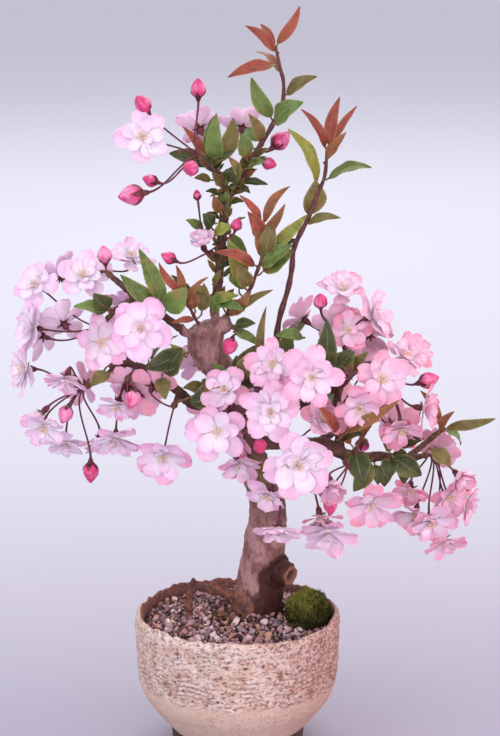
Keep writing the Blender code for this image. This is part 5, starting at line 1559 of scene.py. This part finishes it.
def add_bloom(petals, stalks, kind, axes, size, depth, rises, root, way, dice):
    """A semi-double flower: five broad outer petals, five between them, and a few small ones."""
    centre, facing, across = axes
    along = facing.cross(across)
    reach = size * 0.5
    if kind == HALF:
        rises = [rise - math.radians(4) for rise in rises]
        inner = [rise + math.radians(12) for rise in rises]
        petal_ring(petals, axes, 5, 0.5, (reach * 1.25, 0.8), rises, ((-75, -50), (0.4, 0.7)),
                   depth, 0.0, dice)
        petal_ring(petals, axes, 4, 0.0, (reach * 1.1, 0.7), inner, ((-60, -40), (0.4, 0.7)),
                   depth - 0.1, 0.5, dice)
    else:
        inner = [rise + math.radians(11) for rise in rises]
        small = [math.radians(dice.uniform(35, 60)) for _ in range(4)]
        wide = dice.uniform(0.62, 0.8) - 0.1 * max(0.0, -facing.z)
        # The outer ring is a deeper pink: partly the petals' own colour, partly painted shade where they lie
        # under the inner ring.
        petal_ring(petals, axes, 5, 0.5, (reach, wide), rises, ((-25, 30), (-0.1, 0.3)),
                   depth + 0.3, 0.0, dice)
        between = (reach * dice.uniform(0.78, 0.9), wide * 0.93)
        petal_ring(petals, axes, 5, 0.0, between, inner, ((-20, 36), (0.0, 0.4)), depth - 0.05, 0.5, dice)
        petal_ring(petals, axes, dice.choice((1, 2, 3, 3, 4)), dice.random(), (reach * 0.55, 0.6), small,
                   ((-10, 40), (0.4, 0.8)), depth - 0.12, 0.8, dice)
    add_calyx(stalks, centre - facing * 0.5, facing)
    droop = math.radians(35) if kind == HALF else math.radians(dice.uniform(-15, 8))
    add_sepals(stalks, centre - facing * 1.0, across, along, facing, 1.1, droop, math.radians(-12), 3.4)
    add_stamens(stalks, axes, size, dice)
    add_stalk(stalks, centre - facing * CALYX_DEPTH, facing, root, way)


def add_spent_bloom(stalks, centre, facing, across, root, way):
    """A calyx whose petals have dropped, with its sepals spread in a star."""
    add_calyx(stalks, centre - facing * 0.5, facing)
    add_sepals(stalks, centre - facing * 0.6, across, facing.cross(across), facing, 0.9, 0.2, -0.2, 4.6)
    add_stalk(stalks, centre - facing * CALYX_DEPTH, facing, root, way)


def bud_radius(share):
    return 0.365 * np.sin(np.pi * np.clip(share, 0.0, 1.0) ** 0.76) ** 0.8


def add_bud(petals, stalks, centre, facing, size, depth, across, root, way, dice):
    """A plump closed bud: wrapped petals with raised overlaps, in a dark calyx."""
    along = facing.cross(across)
    rows, sides = 18, 30
    share = np.linspace(0.012, 0.985, rows)
    path = places_along(centre, facing * size, -0.46 + 0.96 * share)
    radii = bud_radius(share) * size
    turns = np.linspace(0.0, 1.0, sides, endpoint=False)
    wrap = (turns[None, :] * 3.0 + share[:, None] * 0.9 + dice.random()) % 1.0
    relief = 1.0 + 0.15 * (wrap - 0.5) * np.sin(np.pi * share[:, None]) ** 0.5
    seam = np.exp(-(np.minimum(wrap, 1.0 - wrap) / 0.06) ** 2)
    add_tube(petals, path, radii, sides, BUD_FINISH, depth, relief)
    petals.marks[-1] = petals.marks[-1].copy()
    petals.marks[-1][:-2, 2] = (seam * 0.75).ravel()
    scale = min(1.0, size / 11.0)
    joint = centre + facing * size * BUD_JOINT
    levels = np.array([-0.2, 0.3, 1.2, 2.2, 3.0, 3.6]) * scale
    urn = np.array([0.6, 0.9, 1.35, 1.6, 1.75, 1.9]) * scale
    add_tube(stalks, places_along(joint, facing, levels), urn, 12)
    for side in range(PETAL_COUNT):
        outward = ring_way(across, along, math.tau * side / PETAL_COUNT)
        aside = facing.cross(outward)
        rows_of = []
        for step in range(6):
            portion = step / 5
            level = -0.44 + 0.36 * portion
            radius = max(float(bud_radius(level + 0.46)) * size, 1.5 * scale) + 0.28
            half = (0.15 * size) * (1.0 - portion) ** 0.8 + 0.1
            middle = centre + facing * size * level + outward * radius
            inward = outward * (-half * half / (2.0 * radius))
            rows_of.append([middle - aside * half + inward, middle, middle + aside * half + inward])
        grid = np.array([[tuple(p) for p in row] for row in rows_of])
        add_sheet(stalks, grid, np.array(outward), 0.3, 0, 0.3)
    add_stalk(stalks, joint, facing, root, way)


def add_collar(surface, place, way, size, finish):
    """The short ringed spur of bud scales that stalks or leaves come out of."""
    share = np.linspace(-0.35, 2.9, 14)
    path = places_along(place, way * size, share)
    radii = size * (1.0 + 0.35 * np.exp(-((share - 1.3) / 0.8) ** 2) - 0.22 * np.clip(share - 1.5, 0, 2))
    radii = radii * (1.0 + 0.09 * np.sin(share * 9.0))
    add_tube(surface, path, radii, 12, finish)


def build_sprays(settings):
    finishes = [
        petal_finish(settings),
        bud_finish("crimson_buds", settings.bud, settings.bud_side, settings.bud_seam),
    ]
    stalk_set = [
        stalk_finish("maroon_stalks", settings.stalk, settings.stalk_light),
        stamen_finish("pale_threads", *THREADS),
        stamen_finish("cream_anthers", *ANTHERS),
        stalk_finish("spur_scales", *SPUR_SCALES),
        stamen_finish("pale_disc", *DISC),
    ]
    for number, (name, flowers) in enumerate(SPRAYS.items()):
        dice, fine = two_dice(100, number)
        place, way = seat(name)
        petals, stalks = Surface(), Surface()
        add_collar(stalks, place, way, SPRAY_COLLAR, COLLAR)
        for kind, centre, (azimuth, height), size, depth in flowers + EXTRA_FLOWERS.get(name, []):
            facing = facing_vector(azimuth, height)
            root = place + way * STALK_START + scatter(dice, STALK_SCATTER)
            across = Quaternion(facing, dice.uniform(0.0, math.tau)) @ square_to(facing)
            if kind == SPENT:
                add_spent_bloom(stalks, Vector(centre), facing, across, root, way)
                continue
            if kind == BUD:
                add_bud(petals, stalks, Vector(centre), facing, size, depth, across, root, way, fine)
                continue
            rises = [OPENINGS[kind] + math.radians(dice.uniform(-4.0, 4.0)) for _ in range(PETAL_COUNT)]
            axes = (Vector(centre), facing, across)
            add_bloom(petals, stalks, kind, axes, size, depth, rises, root, way, fine)
        node = f"blossom_spray_{name}"
        seat_piece(make_piece(f"petals_{name}", petals, finishes), "blossom", node)
        seat_piece(make_piece(f"stalks_{name}", stalks, stalk_set), None, node)


# The leaves and shoots.

# Finish numbers: the six leaf tones come first, then these.
LEAF_STALK, LEAF_COLLARS, SHOOT_STEM = 6, 7, 8
LEAF_ROWS = 26
FULLER = (1.4, 1.4, 1.35, 1.3, 1.2, 1.2)


def leaf_normal(start, tip, dice):
    """The way a blade's upper side looks, turned a little."""
    way = (tip - start).normalized()
    light = BACK_LIGHT if (start.y + tip.y) / 2 > BACK_STARTS else FRONT_LIGHT
    return Quaternion(way, dice.uniform(-LEAF_TWIST, LEAF_TWIST)) @ square_to(way, light)


def add_leaf(surface, start, tip, width, tone, turning, dice):
    """A pointed toothed blade on a short stalk, folded along its rib."""
    start, tip = Vector(start), Vector(tip)
    normal = leaf_normal(start, tip, turning)
    reach = (tip - start).length
    way = (tip - start).normalized()
    aside = way.cross(normal)
    stalk_share = 0.13 if width > 5.5 else 0.08
    width = width * FULLER[tone]

    def centre(share):
        return start + way * reach * share + normal * reach * LEAF_ARCH * math.sin(math.pi * share)

    path = np.array([tuple(centre(s)) for s in np.linspace(0.0, stalk_share + 0.08, 6)])
    path -= np.outer(np.linspace(0.0, 0.35, 6), np.array(normal))
    add_tube(surface, path, np.linspace(0.55, 0.4, 6), 6, LEAF_STALK)
    shares = np.linspace(stalk_share, 1.0, LEAF_ROWS)
    t = (shares - stalk_share) / (1.0 - stalk_share)
    half = width / 2 * np.sin(np.pi * t ** 0.8) ** 0.74 * (1.0 - 0.12 * t ** 2)
    half = np.maximum(half, 0.14)
    columns = np.array([-1.0, -0.62, -0.28, 0.0, 0.28, 0.62, 1.0])
    teeth = 1.0 - 0.055 * (np.arange(LEAF_ROWS) % 2)
    phase = dice.uniform(0.0, math.tau)
    fold = dice.uniform(0.12, 0.5)
    sag = dice.uniform(0.02, 0.13)
    bow = dice.uniform(-0.08, 0.08)
    rows = np.empty((LEAF_ROWS, len(columns), 3))
    for i, share in enumerate(shares):
        middle = np.array(centre(share)) - np.array(normal) * (0.35 + reach * sag * t[i] ** 3)
        middle += np.array(aside) * (reach * bow * math.sin(math.pi * t[i] ** 1.3))
        for j, u in enumerate(columns):
            wide = u * half[i] * (teeth[i] if abs(u) == 1.0 else 1.0)
            wave = math.sin(t[i] * 15.0 + phase + (1.5 if u > 0 else 0.0)) * 0.09 * u * u
            up = abs(u) * half[i] * fold * (1.0 - 0.35 * abs(u)) + wave * half[i]
            rows[i, j] = middle + np.array(aside) * wide + np.array(normal) * up
    add_sheet(surface, rows, np.array(normal), 0.38, tone, dice.random())


def wood_places():
    """Points along every limb, spur and shoot, for small leaves to be joined to."""
    runs = [points for points, _ in wood_runs()] + [spline(stem, 5) for stem in SHOOTS.values()]
    return np.concatenate(runs)[:, :3]


def add_joined_leaf(surface, wood, leaf, dice, fine):
    """A small leaf with a thin stalk from the nearest wood."""
    start, tip, width, tone = leaf
    start, tip = Vector(start), Vector(tip)
    near = Vector(wood[np.argmin(np.linalg.norm(wood - np.array(start), axis=1))])
    middle = near.lerp(start, 0.5) - Vector((0.0, 0.0, 0.6))
    add_tube(surface, bend(near, middle, middle, start, 5), (0.75, 0.65, 0.6, 0.55, 0.5, 0.5), 6, LEAF_STALK)
    add_leaf(surface, start, tip, width, tone, dice, fine)


def add_scale_leaves(surface, dice, fine):
    """The tiny leaves and bud scales that crowd the wood round the fork of the leader."""
    for name, low, high, number in SCALE_RUNS:
        run = spline(LIMBS[name], 6)
        for _ in range(number):
            x, y, z, radius = run[int(dice.uniform(low, high) * (len(run) - 1))]
            out = facing_vector(dice.uniform(-190.0, 10.0), dice.uniform(-5.0, 45.0))
            start = Vector((x, y, z)) + out * radius * 0.8
            way = (out + Vector((0.0, 0.0, 0.5)) + scatter(dice, 0.4)).normalized()
            tip = start + way * dice.uniform(4.0, 9.0)
            tone = dice.choice((OLIVE, BRONZE, DARK, GREEN, OLIVE, OLIVE))
            add_leaf(surface, start, tip, dice.uniform(1.6, 3.2), tone, dice, fine)


def leaf_finishes(settings):
    """One finish for each leaf tone, in the order of the tone numbers, and one for leaf stalks."""
    found = []
    for name in ("green", "dark", "young", "olive", "bronze", "red"):
        upper = np.array(getattr(settings, name))
        second = settings.bronze if name in ("green", "olive", "young") else settings.olive
        turned = upper * 0.5 + np.array(second) * 0.5
        found.append(leaf_finish("leaf_" + name, tuple(upper), tuple(upper * 0.5), tuple(turned),
                                 tuple(upper * 0.6 + np.array(LEAF_RIB) * 0.9),
                                 tuple(upper * 0.8 + np.array(LEAF_BELOW))))
    found.append(stalk_finish("leaf_stalks", *LEAF_STALKS))
    found.append(stalk_finish("leaf_scales", *LEAF_SCALES))
    found.append(stalk_finish("shoot_stems", *SHOOT_STEMS))
    return found


def build_rosettes(finishes):
    wood = wood_places()
    for number, (name, leaves) in enumerate(ROSETTES.items()):
        dice, fine = two_dice(200, number)
        place, way = side_seat(*LEAF_SEATS[name]) if name in LEAF_SEATS else seat(name)
        surface = Surface()
        add_collar(surface, place, way, LEAF_COLLAR, LEAF_COLLARS)
        for tip, width, tone in leaves:
            start = place + way * LEAF_START + scatter(dice, LEAF_SCATTER)
            add_leaf(surface, start, tip, width, tone, dice, fine)
        for leaf in EXTRA_LEAVES.get(name, []):
            add_joined_leaf(surface, wood, leaf, dice, fine)
        if name == "leader":
            add_scale_leaves(surface, dice, fine)
        slot = "leaf_bronze" if name in ("right_mid", "right_tip") else "leaf_green"
        seat_piece(make_piece(f"leaf_group_{name}", surface, finishes), slot, f"leaves_{name}")


def build_shoots(finishes):
    wood = wood_places()
    for number, (name, stem) in enumerate(SHOOTS.items()):
        dice, fine = two_dice(300, number)
        place, _ = seat(name)
        surface = Surface()
        points = spline([(*place, stem[0][3])] + stem, 5)
        swell = 1.0 + 0.12 * np.sin(np.linspace(0.0, math.tau * len(stem), len(points)))
        add_tube(surface, points[:, :3], points[:, 3] * swell, 10, SHOOT_STEM)
        for start, tip, width, tone in SHOOT_LEAVES[name]:
            add_leaf(surface, start, tip, width, tone, dice, fine)
            add_grain(surface, start, 1.1, SHOOT_STEM)
        for leaf in EXTRA_LEAVES.get(name, []):
            add_joined_leaf(surface, wood, leaf, dice, fine)
        seat_piece(make_piece(f"new_shoot_{name}", surface, finishes), "leaf_bronze", f"shoot_{name}")


# The stage, in metres.

CAMERA_PLACE = (0.0068, -1.0, 0.438)
CAMERA_DIP = 12.7
SENSOR = 36.0
FOCAL_LENGTH = 93.87
MIDDLE = (0.0, 0.0, 0.18)
# Each light: its name, its place, where it looks, its size and its colour.
LIGHTS = (
    ("key", (-0.8, -0.7, 1.1), MIDDLE, 0.7, (1.0, 0.99, 1.0)),
    ("warm_fill", (1.0, -0.4, 0.35), MIDDLE, 0.6, (1.0, 0.62, 0.6)),
    ("front", (0.0, -1.2, 0.36), MIDDLE, 1.3, (1.0, 0.97, 1.0)),
    ("low", (0.0, -0.9, 0.03), (0.0, 0.0, 0.24), 0.5, (1.0, 0.84, 0.93)),
    ("rear", (0.0, 1.85, 2.2), (0.0, 1.8, 0.0), 1.8, (0.98, 0.98, 1.0)),
)


def build_stage(settings):
    mesh = bpy.data.meshes.new("floor")
    wide = settings.floor_width / 2
    corners = [(-wide, -wide, 0), (wide, -wide, 0), (wide, wide, 0), (-wide, wide, 0)]
    mesh.from_pydata(corners, [], [range(4)])
    mesh.materials.append(floor_finish(settings))
    floor = bpy.data.objects.new("floor", mesh)
    bpy.context.scene.collection.objects.link(floor)
    world = bpy.data.worlds.new("studio")
    world.use_nodes = True
    background = world.node_tree.nodes["Background"]
    background.inputs["Color"].default_value = (*settings.sky, 1.0)
    background.inputs["Strength"].default_value = settings.sky_strength
    bpy.context.scene.world = world
    for name, place, target, size, colour in LIGHTS:
        add_light(name, place, target, size, getattr(settings, name), colour)
    lens = bpy.data.cameras.new("camera")
    lens.sensor_fit = "VERTICAL"
    lens.sensor_height = SENSOR
    lens.lens = FOCAL_LENGTH
    lens.dof.use_dof = False
    camera = bpy.data.objects.new("camera", lens)
    camera.location = CAMERA_PLACE
    camera.rotation_euler = (math.radians(90.0 - CAMERA_DIP), 0.0, 0.0)
    bpy.context.scene.collection.objects.link(camera)
    bpy.context.scene.camera = camera
    bpy.context.scene.view_settings.view_transform = "Standard"


def add_light(name, place, target, size, power, colour):
    """A soft square light that looks at a place."""
    data = bpy.data.lights.new(name, "AREA")
    data.shape = "SQUARE"
    data.size = size
    data.energy = power
    data.color = colour
    light = bpy.data.objects.new(name, data)
    light.location = place
    aim = Vector(target) - Vector(place)
    light.rotation_euler = aim.to_track_quat("-Z", "Y").to_euler()
    bpy.context.scene.collection.objects.link(light)


# What a user can change: a colour, a lamp's power or a whole number.

def lamp_power(name, description, default):
    return bpy.props.FloatProperty(name=name, description=description, default=default, unit="POWER")


def swatch(name, description, default):
    return bpy.props.FloatVectorProperty(name=name, description=description, default=default,
                                         subtype="COLOR", size=3, min=0.0, max=1.0)


def whole_number(name, description, default, low, high):
    return bpy.props.IntProperty(name=name, description=description, default=default, min=low, max=high)


class PotSettings(bpy.types.PropertyGroup):
    sides: whole_number("Sides", "Corners round the pot", 380, 60, 600)
    roughness_depth: bpy.props.FloatProperty(
        name="Roughness depth", description="How deep the torn skin is", default=0.001, unit="LENGTH")
    clay: swatch("Clay", "Cream body", (0.68, 0.49, 0.38))
    clay_pale: swatch("Pale clay", "Palest cream", (0.78, 0.65, 0.575))
    # A pink clay tone, used also as painted warm shade on the pot's right side.
    clay_tone_and_painted_shade: swatch("Clay shade", "Pinkish shade in the clay", (0.46, 0.24, 0.19))
    rust: swatch("Rust", "Specks", (0.31, 0.12, 0.09))
    rust_dark: swatch("Dark rust", "Darkest specks", (0.11, 0.04, 0.035))
    foot: swatch("Foot", "Dark foot", (0.075, 0.035, 0.03))
    rim_edge: swatch("Rim edge", "Orange brown inner edge of the rim", (0.42, 0.17, 0.09))
    inside: swatch("Inside", "Inner wall", (0.27, 0.11, 0.085))


class GritSettings(bpy.types.PropertyGroup):
    stones: whole_number("Stones", "Loose stones on top", 900, 50, 1400)
    bed: swatch("Bed", "Dark crumbs", (0.07, 0.045, 0.035))
    bed_light: swatch("Light bed", "Lighter crumbs", (0.2, 0.14, 0.11))


class MossSettings(bpy.types.PropertyGroup):
    tufts: whole_number("Tufts", "Leafy tips", 6500, 100, 15000)
    moss: swatch("Moss", "Lit tips", (0.27, 0.27, 0.055))
    moss_dark: swatch("Dark moss", "Between the tips", (0.035, 0.034, 0.008))


class WoodSettings(bpy.types.PropertyGroup):
    voxel: bpy.props.FloatProperty(name="Mesh size", description="Side of a face of the melted skin",
                                   default=0.00064, min=0.0004, max=0.003, unit="LENGTH")
    bark: swatch("Bark", "Grey mauve bark", (0.24, 0.12, 0.10))
    bark_patch: swatch("Smooth patch", "Pale smooth patches", (0.45, 0.255, 0.25))
    bark_crack: swatch("Cracks", "Dark cracks", (0.08, 0.04, 0.036))
    twig: swatch("Twigs", "Thin limbs", (0.105, 0.045, 0.038))
    lichen: swatch("Olive skin", "Olive brown places on thin limbs", (0.17, 0.115, 0.045))
    root_stain: swatch("Root stain", "Red brown near the soil", (0.25, 0.095, 0.055))
    # The colour of the painted shade low on the right of the trunk and on the cut knob.
    painted_shade: swatch("Painted shade patch", "Dark patch low on the right", (0.06, 0.022, 0.017))


class BlossomSettings(bpy.types.PropertyGroup):
    pale: swatch("Pale lilac", "Middle of the left petals", (0.90, 0.83, 0.91))
    pink: swatch("Lilac pink", "Body of the left petals", (0.91, 0.66, 0.83))
    deep: swatch("Deep lilac pink", "Edges of the left petals", (0.91, 0.45, 0.66))
    # The warm colours serve as painted warm shade towards the right of the tree, and as the own colour of
    # deep-tinted flowers anywhere.
    pale_warm: swatch("Pale pink", "Middle of the right petals", (0.86, 0.78, 0.86))
    pink_warm: swatch("Coral pink", "Body of the right petals", (0.88, 0.59, 0.73))
    deep_warm: swatch("Deep coral", "Edges of the right petals", (0.89, 0.39, 0.50))
    bud: swatch("Bud", "Crimson pink buds", (0.66, 0.05, 0.19))
    bud_side: swatch("Bud side", "Paler side of the buds", (0.88, 0.36, 0.58))
    bud_seam: swatch("Bud seam", "Where petals overlap", (0.42, 0.03, 0.10))
    stalk: swatch("Stalk", "Dark maroon stalks", (0.075, 0.012, 0.02))
    stalk_light: swatch("Light stalk", "Redder places", (0.19, 0.04, 0.05))


class LeafSettings(bpy.types.PropertyGroup):
    green: swatch("Green", "Grown leaves", (0.15, 0.26, 0.055))
    dark: swatch("Dark green", "Shaded old leaves", (0.055, 0.085, 0.022))
    young: swatch("Young green", "Yellow green leaves", (0.31, 0.37, 0.06))
    olive: swatch("Olive", "Leaves that turn from bronze to green", (0.21, 0.18, 0.05))
    bronze: swatch("Bronze", "Young leaves", (0.33, 0.13, 0.05))
    red: swatch("Red", "Youngest leaves", (0.40, 0.085, 0.055))


class StageSettings(bpy.types.PropertyGroup):
    floor_width: bpy.props.FloatProperty(name="Floor width", description="Side of the floor", default=40.0,
                                         unit="LENGTH")
    floor: swatch("Floor", "Pale floor", (0.59, 0.595, 0.635))
    # Painted shade on the floor towards the front and round the pot.
    floor_near_painted_shade: swatch("Near floor", "Pale floor round the pot", (0.295, 0.26, 0.345))
    sky: swatch("Surround", "Soft light from all round", (0.92, 0.89, 1.0))
    sky_strength: bpy.props.FloatProperty(name="Surround strength", description="Strength of that light",
                                          default=0.97)
    key: lamp_power("Key light", "Power from the left", 3.4)
    warm_fill: lamp_power("Fill light", "Power from the right", 4.0)
    front: lamp_power("Front light", "Power from the front", 3.5)
    low: lamp_power("Low light", "Power from low in front", 3.4)
    rear: lamp_power("Rear light", "Power from behind", 34.0)


# One operator for each piece or group of like pieces.

class BONSAI_OT_stage(bpy.types.Operator):
    """Lays the floor and sets the lights and the camera"""
    bl_idname = "bonsai.stage"
    bl_label = "Stage"

    def execute(self, context):
        build_stage(context.scene.bonsai_stage)
        return {"FINISHED"}


class BONSAI_OT_pot(bpy.types.Operator):
    """Throws the rough cream pot"""
    bl_idname = "bonsai.pot"
    bl_label = "Pot"

    def execute(self, context):
        build_pot(context.scene.bonsai_pot)
        return {"FINISHED"}


class BONSAI_OT_drainage(bpy.types.Operator):
    """Gives the two drainage meshes their plastic"""
    bl_idname = "bonsai.drainage"
    bl_label = "Drainage mesh"

    def execute(self, context):
        plastic = plastic_finish()
        for side in ("left", "right"):
            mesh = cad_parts[f"drainage_mesh_{side}"]
            mesh.material_slots[0].material = plastic
        return {"FINISHED"}


class BONSAI_OT_grit(bpy.types.Operator):
    """Fills the pot with grit and lays the loose stones"""
    bl_idname = "bonsai.grit"
    bl_label = "Grit"

    def execute(self, context):
        build_grit_bed(context.scene.bonsai_grit)
        build_stones(context.scene.bonsai_grit)
        return {"FINISHED"}


class BONSAI_OT_moss(bpy.types.Operator):
    """Grows the moss cushion"""
    bl_idname = "bonsai.moss"
    bl_label = "Moss"

    def execute(self, context):
        build_moss(context.scene.bonsai_moss)
        return {"FINISHED"}


class BONSAI_OT_wood(bpy.types.Operator):
    """Grows the trunk, root and limbs as one skin"""
    bl_idname = "bonsai.wood"
    bl_label = "Trunk and limbs"

    def execute(self, context):
        build_wood(context.scene.bonsai_wood)
        return {"FINISHED"}


class BONSAI_OT_blossom(bpy.types.Operator):
    """Opens the sprays of blooms and buds"""
    bl_idname = "bonsai.blossom"
    bl_label = "Blossom"

    def execute(self, context):
        build_sprays(context.scene.bonsai_blossom)
        return {"FINISHED"}


class BONSAI_OT_leaves(bpy.types.Operator):
    """Grows the leaf groups and the new shoots"""
    bl_idname = "bonsai.leaves"
    bl_label = "Leaves and shoots"

    def execute(self, context):
        finishes = leaf_finishes(context.scene.bonsai_leaves)
        build_rosettes(finishes)
        build_shoots(finishes)
        return {"FINISHED"}


OPERATORS = (BONSAI_OT_stage, BONSAI_OT_pot, BONSAI_OT_drainage, BONSAI_OT_grit, BONSAI_OT_moss,
             BONSAI_OT_wood, BONSAI_OT_blossom, BONSAI_OT_leaves)
SETTINGS = {"bonsai_stage": StageSettings, "bonsai_pot": PotSettings, "bonsai_grit": GritSettings,
            "bonsai_moss": MossSettings, "bonsai_wood": WoodSettings, "bonsai_blossom": BlossomSettings,
            "bonsai_leaves": LeafSettings}


class BONSAI_PT_panel(bpy.types.Panel):
    """Lists the builders and their settings"""
    bl_idname = "BONSAI_PT_panel"
    bl_label = "Flowering bonsai"
    bl_space_type = "VIEW_3D"
    bl_region_type = "UI"
    bl_category = "Bonsai"

    def draw(self, context):
        for operator in OPERATORS:
            self.layout.operator(operator.bl_idname)
        for name, group in SETTINGS.items():
            box = self.layout.box()
            settings = getattr(context.scene, name)
            for field in group.__annotations__:
                box.prop(settings, field)


def register():
    for group in SETTINGS.values():
        bpy.utils.register_class(group)
    for name, group in SETTINGS.items():
        setattr(bpy.types.Scene, name, bpy.props.PointerProperty(type=group))
    for operator in OPERATORS:
        bpy.utils.register_class(operator)
    bpy.utils.register_class(BONSAI_PT_panel)


def unregister():
    bpy.utils.unregister_class(BONSAI_PT_panel)
    for operator in reversed(OPERATORS):
        bpy.utils.unregister_class(operator)
    for name, group in SETTINGS.items():
        delattr(bpy.types.Scene, name)
        bpy.utils.unregister_class(group)


def main():
    register()
    bpy.ops.bonsai.stage()
    bpy.ops.bonsai.pot()
    bpy.ops.bonsai.drainage()
    bpy.ops.bonsai.grit()
    bpy.ops.bonsai.moss()
    bpy.ops.bonsai.wood()
    bpy.ops.bonsai.blossom()
    bpy.ops.bonsai.leaves()


if __name__ == "__main__":
    main()
